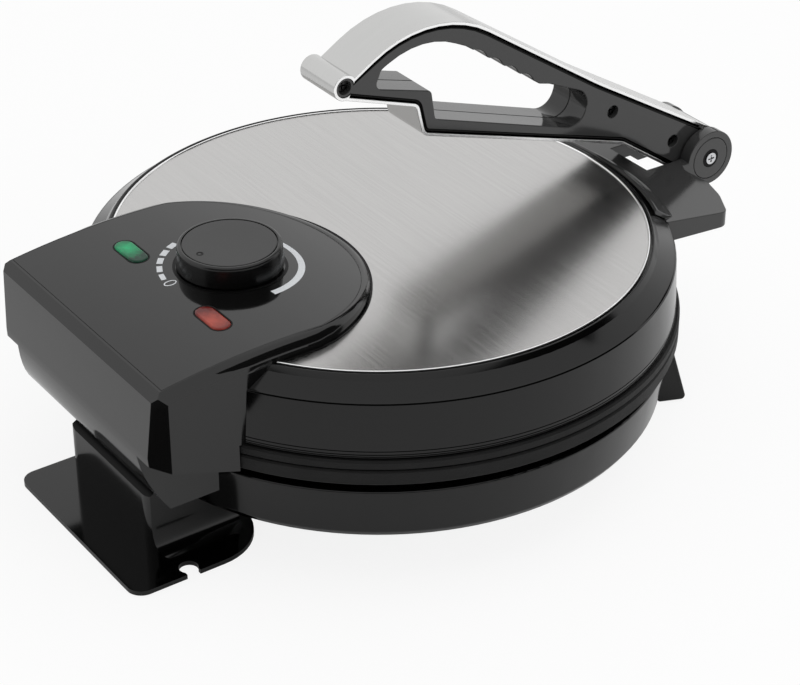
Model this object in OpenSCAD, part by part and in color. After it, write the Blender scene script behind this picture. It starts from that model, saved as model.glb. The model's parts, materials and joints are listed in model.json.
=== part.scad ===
// Electric roti maker: two heated plates in a base and a hinged lid, with a thermostat housing over
// the hinge and a folding press handle on the lid's front bracket.
// Millimetres, +Z up, the user in front at -Y. The counter is z = 0.

/* [Body] */
// Radius of the rims of the two cast plates
plate_r = 130; // [120:1:140]
// Height of the base's underside over the counter
base_z = 24; // [20:1:32]
// Height of the base ring
base_h = 26.2; // [22:0.2:32]
// How far the base ring's top edge stands inside the plate rim
base_inset = 3.2; // [2.6:0.1:4]
// How far the base ring narrows toward its bottom edge
base_taper = 3.3; // [1:0.1:5]
// Air gap between the base ring and the lower plate
base_gap = 5.3; // [4.8:0.1:7]
// Wall thickness of the moulded base, lid and housing
wall_t = 2.4; // [2:0.1:3]

/* [Plates] */
// Thickness of the lower plate's rim
low_rim_h = 6.8; // [6:0.1:9]
// Thickness of the upper plate's rim
up_rim_h = 4.3; // [3.6:0.1:6]
// Gap between the two rims when closed
close_gap = 0.3; // [0.3:0.05:1]
// Depth of the lower cooking face below its rim
dish_depth = 0.8; // [0.4:0.1:1.5]
// Depth of the upper cooking face above its rim
face_depth = 0.3; // [0.2:0.1:1]
// Width of the flat rim round each cooking face
rim_w = 8; // [5:0.5:12]
// Thickness of a plate behind its cooking face
plate_t = 6; // [5:0.1:8]
// Radius of the heating ring
heater_r = 88; // [70:1:98]
// Radius of the heating ring's sheath
sheath_r = 3.2; // [2.5:0.1:4]
// Arc of the heating ring
heater_arc = 320; // [280:5:340]
// Radius of the heat reflectors
reflector_r = 100; // [96:1:102]
// Distance from a plate's back to its reflector
reflector_gap = 8; // [6:0.5:10]
// Thickness of the reflectors
reflector_t = 0.6; // [0.4:0.1:1]
// Radius of the spacer tubes
spacer_r = 4.5; // [4:0.1:4.8]
// Distance from the axis to the spacer tubes
spacer_place_r = 109.5; // [108:0.1:110]

/* [Lid] */
// How far the lid's lip stands inside the plate rim
lid_inset = 1.8; // [1.5:0.1:3]
// How far the lid's wall narrows toward its top edge
lid_taper = 1.1; // [0.5:0.1:3]
// Height of the lid's wall
lid_wall_h = 24.2; // [22:0.1:30]
// Height of the sloping ring over the wall
crown_h = 7.8; // [7:0.1:10]
// Radius of the steel disc
disc_r = 115.5; // [115:0.1:116]
// Thickness of the steel disc
disc_t = 1; // [0.8:0.1:1.2]
// Width of the ledge that carries the disc
seat_w = 12.5; // [12:0.5:14]
// Gap round the steel disc
disc_gap = 0.5; // [0.3:0.1:0.8]
// Depth of the fine grooves round the lid's lip
groove_d = 0.5; // [0.3:0.1:0.8]
// Width of the fine grooves round the lid's lip
groove_w = 0.35; // [0.2:0.05:0.5]
// Radius of the window under the housing
window_r = 34; // [30:1:36]
// Distance from the body's axis to the window's centre
window_y = 66; // [60:0.5:72]

/* [Hinge] */
// Distance of the hinge pin behind the plate rim
hinge_back = 2.5; // [2.2:0.1:3.5]
// Distance of the hinge pin below the base's top edge
hinge_drop = 2.7; // [2:0.1:3.5]
// Radius of the hinge pin
pin_r = 3; // [2.5:0.1:3.5]
// Running clearance round the hinge pin
pin_gap = 0.05; // [0.03:0.01:0.1]
// Wall round the hinge pin
pin_wall = 3; // [2.5:0.1:3.2]
// Half width of the rear column
column_w = 33; // [30:0.5:34]
// Thickness of the column's hinge ears
ear_t = 8; // [6:0.5:10]
// Side clearance between the ears and the knuckles
hinge_side_gap = 0.4; // [0.3:0.1:0.8]
// Width of the lid's hinge knuckles
knuckle_w = 8; // [6:0.5:10]

/* [Stand] */
// Half width of the rear foot plate
foot_w = 51.3; // [48:0.1:56]
// Distance from the body's axis to the foot plate's rear edge
foot_back = 155.2; // [154:0.1:160]
// Distance from the body's axis to the foot plate's front edge
foot_front = 88; // [84:1:94]
// Radius of the foot plate's rear corners
foot_rear_r = 7; // [4:0.5:12]
// Radius of the foot plate's front corners
foot_front_r = 25; // [15:1:30]
// Thickness of the foot plate
foot_t = 2.1; // [1.8:0.1:3]
// Inset of the rubber feet from the foot plate's edges
rubber_in = 11; // [8:0.5:16]
// How far the rubber feet stand out
rubber_out = 0.3; // [0.2:0.1:1]
// Radius of the rubber feet
rubber_r = 5; // [3.5:0.5:6]
// Depth of the pockets for the rubber feet
rubber_sink = 0.8; // [0.6:0.1:1]
// Distance from the middle to the stand's screws
stand_screw_x = 22; // [14:0.5:26]
// Depth of the stand's screws in the column
stand_screw_bite = 8; // [5:0.5:10]
// Distance of the column's rear face behind the hinge pin
column_back = 4.8; // [4:0.1:5.4]
// Height of the column's rear face
column_h = 32; // [28:0.5:32.5]
// Height of the shelf under the hinge
shelf_z = 36; // [34:0.5:36.5]
// Height of the column block over the base's top edge
block_up = 3.8; // [3:0.1:4.2]
// Width of the hollow flare at the foot of the column
flare = 7; // [3:0.5:9]
// Height of the hollow flare
flare_h = 14; // [6:0.5:18]
// Radius of the flare's rear corners
flare_r = 12; // [6:0.5:14]
// Radius of the cord notch in the foot plate
notch_r = 4.1; // [3.5:0.1:5]
// Distance of the cord notch in front of the plate's rear edge
notch_back = 27.3; // [20:0.1:32]

/* [Legs] */
// Angle of each front leg from straight ahead
leg_angle = 22; // [18:1:30]
// Half width of a front leg
leg_w = 14; // [10:0.5:18]
// How far a leg stands outside the plate rim at the counter
leg_out = 10; // [6:0.5:14]
// Height at which the leg meets the base ring
leg_top = 46; // [40:0.5:48]
// Length of the leg's sole
leg_sole = 13; // [12:0.5:18]
// Radius of the sole's outer edge
leg_round = 2; // [1:0.5:4]
// Distance of a leg's screw inside the plate rim
leg_screw_in = 18; // [16:0.5:20]
// Depth of a leg's screw in the leg
leg_screw_bite = 6; // [4:0.5:8]

/* [Cord gland and terminals] */
// Radius of the cord's passage
cord_r = 3.2; // [2.5:0.1:3.5]
// Radius of the gland in the column
gland_r = 5; // [4.2:0.1:6]
// Radius of the gland's flange
flange_r = 7; // [6.2:0.1:8]
// Length of the gland
gland_l = 9; // [7:0.5:12]
// Height of the gland over the counter
gland_z = 14; // [11:0.5:15]
// Length of the terminal block
terminal_l = 44; // [30:1:50]
// Width of the terminal block
terminal_w = 16; // [12:0.5:18]
// Height of the terminal block
terminal_h = 12; // [8:0.5:14]
// Distance between the terminals
terminal_pitch = 14; // [8:0.5:15]
// Radius of a terminal's well
terminal_r = 3; // [2:0.1:3.5]

/* [Control housing] */
// Half width of the housing
hood_w = 66.3; // [64:0.1:68]
// Bevel round the housing's top
hood_bevel = 4.3; // [3:0.1:5]
// Radius of the crowned top
hood_crown_r = 360; // [320:5:420]
// Height of the crown over the steel disc
hood_rise = 7; // [6.6:0.1:9]
// Distance from the body's axis to the crown's highest line
hood_crest_y = 88; // [84:0.5:92]
// Distance from the body's axis to the centre of the round nose
nose_y = 86.5; // [84:0.5:90]
// Radius of the round nose where it meets the steel disc
nose_r = 68.2; // [67:0.1:70]
// Backward lean of the nose's side
nose_tilt = 1; // [0:0.5:3]
// How far the housing reaches behind the hinge pin
hood_back = 17.5; // [16:0.1:20]
// Radius of the round back of the housing
hood_arc_r = 47.7; // [44:0.1:52]
// Height of the round back's centre
hood_arc_z = 72; // [70:0.5:74]
// Distance of the housing's lower edge below the hinge pin
hood_drop = 4.2; // [3.6:0.1:4.6]
// Half width of the lower cover round the hinge
cover_w = 58; // [54:0.5:60]
// Thickness of the control panel
panel_t = 1.2; // [1:0.1:1.4]
// Gap round the control panel
panel_gap = 0.2; // [0.1:0.05:0.4]
// Radius of the control panel's round end
panel_nose_r = 63.6; // [61:0.1:64]

/* [Controls] */
// Distance from the body's axis to the knob
knob_y = 74.6; // [72:0.2:78]
// Radius of the knob's base
knob_r = 22.8; // [18:0.1:26]
// Radius of the knob's top
knob_top_r = 21.5; // [17:0.1:22]
// Height of the knob
knob_h = 9.6; // [8:0.1:14]
// Gap between the crown and the knob
knob_gap = 0.75; // [0.5:0.05:2]
// Radius of the hub inside the knob
knob_hub_r = 7; // [6:0.5:12]
// Radius of the disc let into the knob's top
cap_r = 19.6; // [12:0.1:20]
// Thickness of the knob's cap
cap_t = 1.4; // [1:0.1:2]
// Radius of the thermostat shaft
shaft_r = 3; // [2.5:0.1:4]
// Radius of the thermostat
thermostat_r = 17; // [14:0.5:20]
// Height of the thermostat
thermostat_h = 16; // [12:0.5:18]
// Length of the thermostat's lugged top plate
thermostat_l = 34; // [32:0.5:40]
// Width of the thermostat's lugged top plate
thermostat_w = 16; // [12:0.5:24]
// Length of a lens
lens_l = 20; // [14:0.5:24]
// Width of a lens
lens_w = 8.5; // [6:0.5:10]
// Distance from the middle to each lens
lens_x = 32.7; // [28:0.1:38]
// Distance from the body's axis to the lenses
lens_y = 102.8; // [98:0.1:106]
// How far the lenses stand proud
lens_out = 0.5; // [0.3:0.1:2]
// Length of an indicator lamp's straight part
lamp_l = 12; // [8:0.5:14]
// Radius of the thermal cut-out
cutout_r = 8; // [5:0.5:9]

/* [Front bracket] */
// Half width of the bracket at the lid
bracket_w = 53.8; // [48:0.1:58]
// Half width of the bracket at its front corners
bracket_front_w = 63.8; // [58:0.1:66]
// Distance from the body's axis to the bracket's corners
bracket_corner_y = 142; // [140:0.5:146]
// Distance from the body's axis to the bracket's front edge
bracket_front_y = 154; // [152:0.5:158]
// Drop from the lid's edge line to the bracket's front
bracket_fall = 1; // [0:0.1:2]
// Thickness of the bracket at its front
bracket_t = 7.2; // [6:0.1:9]
// Thickness of the bracket at the lid
bracket_root_t = 10.7; // [9:0.1:13]
// Distance from the body's axis to the handle pivot
pivot_y = 171.7; // [170:0.1:176]
// Drop from the lid's edge line to the handle pivot
pivot_drop = 0.9; // [0:0.1:3]
// Radius of the bracket's round ears
drum_r = 13.3; // [12:0.1:14]
// Width of a round ear
drum_w = 6.4; // [5:0.1:8]
// Radius of the cap in each ear
pivot_cap_r = 10; // [8:0.1:11]
// Depth of the cap in each ear
pivot_cap_t = 1.6; // [1:0.1:2]
// Radius of the pivot axle
axle_r = 4; // [3:0.1:5]
// Length of the axle's screws
axle_screw_l = 6; // [5:0.5:10]
// Running clearance round the axle
axle_gap = 0.05; // [0.03:0.01:0.1]

/* [Handle] */
// Half width of the handle's black halves together
handle_w = 12; // [10:0.1:14]
// Thickness of the metal strap
strap_t = 1.4; // [1:0.1:1.8]
// How far the strap stands out beside the halves
strap_side = 0.5; // [0.3:0.1:0.8]
// Gap between the strap and the bracket's ears
handle_gap = 0.6; // [0.4:0.1:1]
// Radius of the handle's root round the pivot
root_r = 12.6; // [11:0.1:13]
// Radius of the rolled tip
roll_r = 5.6; // [4.8:0.1:6.5]
// Number of finger scallops in the loop
scallop_count = 4; // [3:1:5]
// Distance from scallop to scallop
scallop_pitch = 10.3; // [8:0.1:11]
// Radius of a finger scallop
scallop_r = 7.5; // [6:0.1:9]
// Depth of a finger scallop
scallop_depth = 1.3; // [0.8:0.1:1.6]
// Radius of the wells round the handle screws
well_r = 3; // [2.6:0.1:3]
// Depth of the wells round the handle screws
well_depth = 4; // [2:0.5:6]
// Reach of the handle's screws past the parting line
handle_screw_bite = 5.5; // [4:0.5:8]

/* [Screws] */
// Radius of the screw shanks
screw_r = 1.5; // [1.2:0.1:1.8]
// Height of the screw heads
head_h = 1.6; // [1.2:0.1:2]
// Radius of the screw heads
head_r = 2.8; // [2.4:0.1:2.8]
// Length of the front bracket's screws
bracket_screw_l = 9; // [7:0.5:11]
// Angle of the bracket's screws from the middle
bracket_screw_angle = 17; // [12:0.5:20]
// Drop of the bracket's screws below the lid's edge
bracket_screw_drop = 6; // [4:0.5:10]
// Half the angle of the lid's edge that the bracket's saddle covers
saddle_angle = 26.5; // [24:0.5:30]
// Width of the cross recess
drive_w = 0.8; // [0.5:0.1:1]
// Depth of the cross recess
drive_depth = 0.8; // [0.5:0.1:1]
// Reach of a screw into the metal or the post that it holds
screw_bite = 2.5; // [2:0.1:3]
// Gap round a screw in the piece that it clamps
screw_gap = 0.3; // [0.2:0.05:0.5]

/* [Hidden] */

$fn = 96;
big_fn = 240;
arc_step = 8;
skin = 0.1;
past = 1;
far = 400;

// Heights of the stack, from the counter up
base_top = base_z + base_h;
low_plate_z = base_top + base_gap;
low_rim_top = low_plate_z + low_rim_h;
up_plate_z = low_rim_top + close_gap;
lid_z = up_plate_z + up_rim_h;
lid_edge_z = lid_z + lid_wall_h;
disc_top = lid_edge_z + crown_h;
disc_under = disc_top - disc_t;
seat_under = disc_under - 2;
reflector_clear = 0.5;
low_face_z = low_rim_top - dish_depth;
low_back_z = low_face_z - plate_t + 0.5;
up_face_z = up_plate_z + face_depth;
up_back_z = up_face_z + plate_t + 0.3;
floor_top = base_z + wall_t;

// Radii of the base ring and the lid
base_top_r = plate_r - base_inset;
base_low_r = base_top_r - base_taper;
floor_hole_r = plate_r - 38;
cover_r = plate_r - 25;
floor_corner = 7.5;
cover_t = 1.2;
cover_screw_r = floor_hole_r + 7;
vent_place_r = 40;
vent_size = [24, 4];
vent_step = 20;
lip_r = plate_r - lid_inset;
lid_edge_r = lip_r - lid_taper;
seat_r = disc_r + disc_gap;
spigot_r = lip_r - wall_t - 1;

// Hinge and column
hinge_y = plate_r + hinge_back;
hinge_z = base_top - hinge_drop;
boss_r = pin_r + pin_wall;
knuckle_x = column_w + hinge_side_gap;
pin_end = knuckle_x + knuckle_w - 0.2;
block_back = hinge_y - 5.7;
block_front = block_back - 9.8;
block_top = base_top + block_up;
column_front = block_front - 21;
stand_screw_y = column_front + 10;
gland_y = column_front + 16;
gland_sink = 2;
gland_bore_l = 12;
terminal_y = column_front - 18;
foot_top = rubber_out + foot_t;

// Control housing
crest_z = disc_top + hood_rise;
crown_axis_z = crest_z - hood_crown_r;
hood_y = hinge_y + hood_back;
hood_arc_y = hood_y - hood_arc_r;
hood_low_z = hinge_z - hood_drop;
hood_top = crest_z + 10;
hood_bevel_z = disc_top - 1.3;
plan_chamfer = hood_w + hood_y - 6.8;
cover_chamfer = cover_w + hood_y - 8;
knob_z = crest_z - pow(hood_crest_y - knob_y, 2) / (2 * hood_crown_r) + knob_gap;
knob_top = knob_z + knob_h;
panel_under_r = hood_crown_r - panel_t;
panel_low_z = disc_top + 0.6;
nose_side = [12, 20];
cut_h = 20;
back_slope = 0.955;
wing_slope = 0.343;
hood_roof = crest_z - wall_t;
lens_z = crest_z - pow(lens_y - hood_crest_y, 2) / (2 * hood_crown_r);
boss_x = 46;
boss_ring_r = seat_r - seat_w - head_r - 1;
boss_rows = [nose_y - 24, sqrt(pow(boss_ring_r, 2) - pow(boss_x, 2))];
boss_places = [for (y = boss_rows) each [[-boss_x, y], [boss_x, y]]];
post_r = 4;
thermostat_gap = 0.6;
shaft_reach = 7;
thermostat_screw_x = 13;

// Front bracket and handle pivot
pivot_z = lid_edge_z - pivot_drop;
bracket_z = lid_edge_z + 1.1;
drum_x = handle_w + strap_side + handle_gap - 0.5;
drum_out = drum_x + drum_w;
slot_w = handle_w + strap_side + handle_gap - 0.1;
slot_y = bracket_corner_y - 3.4;
saddle_r = plate_r - 9;
bracket_in_r = plate_r - 30;
strap_end_r = root_r + 1;

// The whole machine reaches from the handle's root to the foot plate
axis_y = (pivot_y + drum_r - foot_back) / 2;

// Handle outlines from the pivot, back and up, each corner with its radius
handle_outline = [
    [-6.6, 10.8, 0], [7.2, -10.4, 0], [48.7, 18.6, 8], [158.2, 54.2, 5], [161.5, 68.4, 3],
    [196.6, 80.9, 0], [193.2, 89.2, 0], [153.4, 113.6, 55], [62.7, 52.8, 200]
];
loop_outline = [
    [181.3, 81.7, 3], [179.1, 93.8, 3], [154.2, 101.7, 45], [96.3, 61, 2], [90.9, 59.5, 2],
    [67.1, 48.6, 8.2], [73.3, 33.2, 8.2], [151.4, 59.9, 2.5], [153.4, 73.4, 3]
];
roll_place = [196.6, 86.5];
handle_screw_places = [roll_place, [54.4, 36], [17.6, 11]];
scallop_start = [99, 63];
scallop_slope = 35.1;

spacer_angles = [30, 150, 270];
cover_screw_angles = [45, 135, 225, 315];
leg_screw_r = plate_r - leg_screw_in;
leg_in_r = plate_r - 22;
cutout_place = [46, 30];

gloss_black = "#26272a";
panel_grey = "#4b4c4e";
cast_grey = "#3a3a3c";
bright_steel = "#c9cacb";
dull_steel = "#9a9b9c";
rubber_black = "#1c1c1d";

// Unit vector
function unit(v) = v / norm(v);

// Left normal of the line from a to b
function normal(a, b) = [a[1] - b[1], b[0] - a[0]] / norm(b - a);

// Points of a corner at b between a and c, rounded with radius r
function corner(a, b, c, r) =
    let (u = unit(a - b), w = unit(c - b), half = acos(u * w) / 2)
    let (centre = b + unit(u + w) * r / sin(half), d = r / tan(half))
    let (from = b + u * d - centre, to = b + w * d - centre)
    let (a0 = atan2(from[1], from[0]), sweep = (atan2(to[1], to[0]) - a0 + 540) % 360 - 180)
    let (steps = max(2, ceil(abs(sweep) / arc_step)))
    [for (i = [0:steps]) centre + r * [cos(a0 + sweep * i / steps), sin(a0 + sweep * i / steps)]];

// Closed outline with each corner rounded by its own third value
function rounded(list) =
    let (n = len(list), flat = [for (p = list) [p[0], p[1]]])
    [for (i = [0:n - 1]) each list[i][2] == 0
        ? [flat[i]]
        : corner(flat[(i + n - 1) % n], flat[i], flat[(i + 1) % n], list[i][2])];

// Anticlockwise outline moved in by d
function inset(list, d) =
    let (n = len(list))
    [for (i = [0:n - 1])
        let (before = normal(list[(i + n - 1) % n], list[i]), after = normal(list[i], list[(i + 1) % n]))
        list[i] + d * (before + after) / (1 + before * after)];

// The body's own axis stands behind the origin, because the handle reaches farther than the foot
module at_axis() {
    translate([0, axis_y, 0])
        children();
}

// Ring turned round the body's axis from points of radius and height
module turned(points) {
    rotate_extrude($fn = big_fn)
        polygon(points);
}

// Outline of depth and height carried across the width
module across(points, half) {
    rotate([90, 0, 90])
        linear_extrude(height = 2 * half, center = true)
            polygon(points);
}

// Round bar across the width
module cross_bar(radius, from, to) {
    translate([from, 0, 0])
        rotate([0, 90, 0])
            cylinder(r = radius, h = to - from);
}

// Screw with its head on z = 0 and its shank below
module screw(length, head = head_r) {
    difference() {
        cylinder(r = head, h = head_h);
        for (turn = [0, 90])
            rotate(turn)
                translate([0, 0, head_h])
                    cube([1.3 * head, drive_w, 2 * drive_depth], center = true);
    }
    translate([0, 0, -length])
        cylinder(r = screw_r, h = length + skin);
}

// Places at one radius and several angles
module around(radius, angles) {
    for (angle = angles)
        rotate(angle)
            translate([radius, 0, 0])
                children();
}

// Base ring

module base_shell() {
    color(gloss_black)
    at_axis()
        difference() {
            turned([
                [floor_hole_r, base_z], [base_low_r - floor_corner, base_z], [base_low_r - 2, base_z + 1.6],
                [base_low_r, base_z + 4.5], [base_top_r, base_top - 0.6], [base_top_r - 0.6, base_top],
                [base_top_r - 7.3, base_top], [base_top_r - 7.3, base_top - 2],
                [base_top_r - wall_t - 0.4, base_top - 2.7], [base_low_r - wall_t + 0.1, base_z + 5.5],
                [base_low_r - wall_t - 2.5, floor_top], [floor_hole_r, floor_top]
            ]);
            translate([0, far / 2 + block_front - 0.3, base_z + far / 2 - past])
                cube([2 * (column_w + hinge_side_gap), far, far], center = true);
            around(spacer_place_r, spacer_angles)
                translate([0, 0, base_z - past])
                    cylinder(r = screw_r + screw_gap, h = wall_t + 2 * past);
            around(cover_screw_r, cover_screw_angles)
                translate([0, 0, base_z - past])
                    cylinder(r = screw_r, h = wall_t + 2 * past);
            for (side = [-1, 1]) {
                rotate(side * leg_angle - 90)
                    translate([leg_screw_r, 0, base_z - past])
                        cylinder(r = screw_r + screw_gap, h = wall_t + 2 * past);
                translate([side * stand_screw_x, stand_screw_y, base_z - past])
                    cylinder(r = screw_r + screw_gap, h = wall_t + 2 * past);
            }
        }
}

module bottom_cover() {
    color(dull_steel)
    at_axis()
        difference() {
            translate([0, 0, base_z - cover_t])
                cylinder(r = cover_r, h = cover_t, $fn = big_fn);
            translate([0, far / 2 + column_front - 1, base_z])
                cube([2 * (column_w + hinge_side_gap), far, far], center = true);
            around(cover_screw_r, cover_screw_angles)
                translate([0, 0, base_z - 2 * past])
                    cylinder(r = screw_r + screw_gap, h = 3 * past);
            for (angle = [0:vent_step:360 - vent_step])
                rotate(angle)
                    translate([vent_place_r, 0, base_z - 1])
                        cube([vent_size[0], vent_size[1], 8], center = true);
        }
}

module cover_screws() {
    color(bright_steel)
    at_axis()
        around(cover_screw_r, cover_screw_angles)
            translate([0, 0, base_z - cover_t])
                mirror([0, 0, 1])
                    screw(cover_t + wall_t);
}

// A leg's outline of radius and height, with a flat top under the base and a splayed outer face
function leg_outline() = rounded([
    [plate_r + leg_out, rubber_out, leg_round], [base_top_r - 0.4, leg_top + 1, 0],
    [leg_in_r, leg_top + 1, 0], [leg_in_r, base_z - 4, 3], [plate_r + leg_out - leg_sole, rubber_out, 1.5]
]);

module front_leg(side) {
    difference() {
        rotate(180 + side * leg_angle)
            difference() {
                intersection() {
                    across(leg_outline(), leg_w);
                    translate([0, 0, leg_top / 2])
                        cube([far, far, leg_top], center = true);
                }
                translate([0, plate_r + leg_out - leg_sole / 2, -past])
                    cylinder(r = rubber_r, h = rubber_out + rubber_sink + past);
                translate([0, leg_screw_r, base_z - leg_screw_bite - 1])
                    cylinder(r = screw_r, h = leg_screw_bite + 1 + past);
            }
        turned([
            [0, base_z], [base_low_r - floor_corner, base_z], [base_low_r - 2, base_z + 1.6],
            [base_low_r, base_z + 4.5], [base_top_r, base_top - 0.6], [0, base_top]
        ]);
    }
}

module front_left_leg() {
    color(gloss_black)
    at_axis()
        front_leg(-1);
}

module front_right_leg() {
    color(gloss_black)
    at_axis()
        front_leg(1);
}

module leg_screws() {
    color(bright_steel)
    at_axis()
        for (side = [-1, 1])
            rotate(180 + side * leg_angle)
                translate([0, leg_screw_r, floor_top])
                    screw(wall_t + leg_screw_bite);
}

// Rear stand

function foot_outline() = rounded([
    [foot_w, foot_front, foot_front_r], [foot_w, foot_back, foot_rear_r],
    [-foot_w, foot_back, foot_rear_r], [-foot_w, foot_front, foot_front_r]
]);

function column_outline() = [
    [column_front, rubber_out], [hinge_y + column_back, rubber_out], [hinge_y + column_back, column_h],
    [hinge_y - 2, shelf_z], [block_back, shelf_z], [block_back, hinge_z - 3],
    [block_back, block_top], [block_front, block_top], [block_front, base_z], [column_front, base_z]
];

// Hollow flare on both sides of the column's foot
function flare_outline() = concat(
    [for (a = [0:15:90]) [column_w + flare * (1 - sin(a)), foot_top - skin + flare_h * (1 - cos(a))]],
    [for (a = [90:-15:0]) [-column_w - flare * (1 - sin(a)), foot_top - skin + flare_h * (1 - cos(a))]]
);

module rear_stand() {
    color(gloss_black)
    at_axis()
        difference() {
            union() {
                difference() {
                    translate([0, 0, rubber_out])
                        linear_extrude(height = foot_t)
                            polygon(foot_outline());
                    translate([-foot_w + notch_r + 0.3, foot_back - notch_back, -past])
                        cylinder(r = notch_r, h = foot_top + 2 * past);
                    translate([-foot_w, foot_back - notch_back, foot_t / 2])
                        cube([2 * notch_r, 1.5 * notch_r, 2 * foot_top + past], center = true);
                }
                intersection() {
                    union() {
                        across(column_outline(), column_w);
                        rotate([90, 0, 0])
                            translate([0, 0, -(hinge_y + column_back)])
                                linear_extrude(height = hinge_y + column_back - column_front)
                                    polygon(flare_outline());
                    }
                    linear_extrude(height = far)
                        polygon(rounded([
                            [column_w + flare, column_front, 0],
                            [column_w + flare, hinge_y + column_back, flare_r],
                            [-column_w - flare, hinge_y + column_back, flare_r],
                            [-column_w - flare, column_front, 0]
                        ]));
                }
                for (side = [-1, 1])
                    translate([side * (column_w - ear_t / 2), 0, 0]) {
                        translate([0, hinge_y, hinge_z])
                            cross_bar(boss_r, -ear_t / 2, ear_t / 2);
                        across([
                            [block_back - past, hinge_z - 3], [hinge_y, hinge_z - 3],
                            [hinge_y, hinge_z + boss_r], [block_back - past, hinge_z + boss_r]
                        ], ear_t / 2);
                    }
            }
            translate([0, hinge_y, hinge_z])
                cross_bar(pin_r, -column_w - past, column_w + past);
            for (side = [-1, 1]) {
                translate([side * (foot_w - rubber_in), foot_back - rubber_in, -past])
                    cylinder(r = rubber_r, h = rubber_out + rubber_sink + past);
                translate([side * stand_screw_x, stand_screw_y, base_z - stand_screw_bite - 1])
                    cylinder(r = screw_r, h = stand_screw_bite + 1 + past);
            }
            translate([column_w - gland_bore_l, gland_y, gland_z]) {
                cross_bar(cord_r + screw_gap, 0, gland_bore_l + past);
                cylinder(r = cord_r + screw_gap, h = base_z);
            }
            translate([column_w - gland_sink, gland_y, gland_z]) {
                cross_bar(gland_r, 0, gland_sink + past);
                cross_bar(flange_r + skin, gland_sink, gland_sink + flare + past);
            }
        }
}

module stand_screws() {
    color(bright_steel)
    at_axis()
        for (side = [-1, 1])
            translate([side * stand_screw_x, stand_screw_y, floor_top])
                screw(wall_t + stand_screw_bite);
}

module cord_gland() {
    color(rubber_black)
    at_axis()
        translate([column_w - gland_sink, gland_y, gland_z])
            difference() {
                union() {
                    cross_bar(gland_r, 0, gland_l);
                    cross_bar(flange_r, gland_sink, gland_sink + 3);
                }
                cross_bar(cord_r, -past, gland_l + past);
            }
}

module rubber_feet() {
    color(rubber_black)
    at_axis()
        for (side = [-1, 1]) {
            translate([side * (foot_w - rubber_in), foot_back - rubber_in, 0])
                cylinder(r = rubber_r, h = rubber_out + rubber_sink);
            rotate(180 + side * leg_angle)
                translate([0, plate_r + leg_out - leg_sole / 2, 0])
                    cylinder(r = rubber_r, h = rubber_out + rubber_sink);
        }
}

module terminal_block() {
    color("#d8d5cc")
    at_axis()
        translate([0, terminal_y, base_z])
            difference() {
                union() {
                    translate([-terminal_l / 2, -terminal_w / 2, 0])
                        cube([terminal_l, terminal_w, terminal_h + 1.2]);
                    translate([-terminal_l / 2 - 4, -terminal_w / 2 - 2, 0])
                        cube([terminal_l + 8, terminal_w + 4, 1.2]);
                }
                for (step = [-1:1])
                    translate([step * terminal_pitch, 0, 4])
                        cylinder(r = terminal_r, h = terminal_h);
            }
}

module hinge_pin() {
    color(bright_steel)
    at_axis()
        translate([0, hinge_y, hinge_z])
            cross_bar(pin_r, -pin_end, pin_end);
}

// Cast plates, their heating rings and reflectors

module lower_plate() {
    edge = 0.8;
    color(cast_grey)
    at_axis()
        difference() {
            turned([
                [0, low_back_z], [plate_r - 12, low_back_z], [plate_r - 6, low_plate_z],
                [plate_r - edge, low_plate_z], [plate_r, low_plate_z + edge],
                [plate_r, low_rim_top - edge], [plate_r - edge, low_rim_top],
                [plate_r - rim_w, low_rim_top], [plate_r - rim_w - 1, low_face_z], [0, low_face_z]
            ]);
            heater_path(low_back_z - sheath_r + 1, sheath_r + skin, 360);
            around(spacer_place_r, spacer_angles)
                translate([0, 0, low_back_z - past])
                    cylinder(r = screw_r, h = 3 + past);
        }
}

module upper_plate() {
    edge = 0.8;
    color(cast_grey)
    at_axis()
        difference() {
            turned([
                [0, up_face_z], [plate_r - rim_w - 1, up_face_z], [plate_r - rim_w, up_plate_z],
                [plate_r - edge, up_plate_z], [plate_r, up_plate_z + edge],
                [plate_r, lid_z - edge], [plate_r - edge, lid_z], [spigot_r, lid_z],
                [spigot_r, up_back_z + 1.3], [spigot_r - 4.8, up_back_z + 1.3],
                [spigot_r - 4.8, up_back_z], [0, up_back_z]
            ]);
            heater_path(up_back_z + sheath_r - 1, sheath_r + skin, 360);
            around(spacer_place_r, spacer_angles)
                translate([0, 0, up_back_z - 3])
                    cylinder(r = screw_r, h = 3 + past);
        }
}

// Tube or groove along the heating ring, open toward the back
module heater_path(z, radius, arc) {
    translate([0, 0, z])
        rotate(90 + (360 - arc) / 2)
            rotate_extrude(angle = arc, $fn = big_fn)
                translate([heater_r, 0])
                    circle(r = radius);
}

// Heating ring with its two terminal pins, which stand away from the plate
module heater(z, away) {
    heater_path(z, sheath_r, heater_arc);
    for (side = [-1, 1])
        rotate(90 + side * ((360 - heater_arc) / 2 + 2))
            translate([heater_r, 0, z])
                mirror([0, 0, away < 0 ? 1 : 0])
                    cylinder(r = 1.6, h = sheath_r + 5);
}

module lower_heater() {
    color(dull_steel)
    at_axis()
        heater(low_back_z - sheath_r + 1, -1);
}

module upper_heater() {
    color(dull_steel)
    at_axis()
        heater(up_back_z + sheath_r - 1, 1);
}

// Pan with a raised middle boss that stands on the plate, from height z upward
module reflector() {
    difference() {
        turned([
            [0, 0], [12, 0], [16, reflector_gap], [reflector_r - 2, reflector_gap],
            [reflector_r, reflector_gap - 3], [reflector_r, reflector_gap - 2.4 + reflector_t],
            [reflector_r - 1.6, reflector_gap + reflector_t], [15.6, reflector_gap + reflector_t],
            [11.6, reflector_t], [0, reflector_t]
        ]);
        for (side = [-1, 1])
            rotate(90 + side * ((360 - heater_arc) / 2 + 2))
                translate([heater_r, 0, 0])
                    cylinder(r = 4, h = far);
        around(spacer_place_r, spacer_angles)
            translate([0, 0, -past])
                cylinder(r = spacer_r + reflector_clear, h = far);
    }
}

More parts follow.
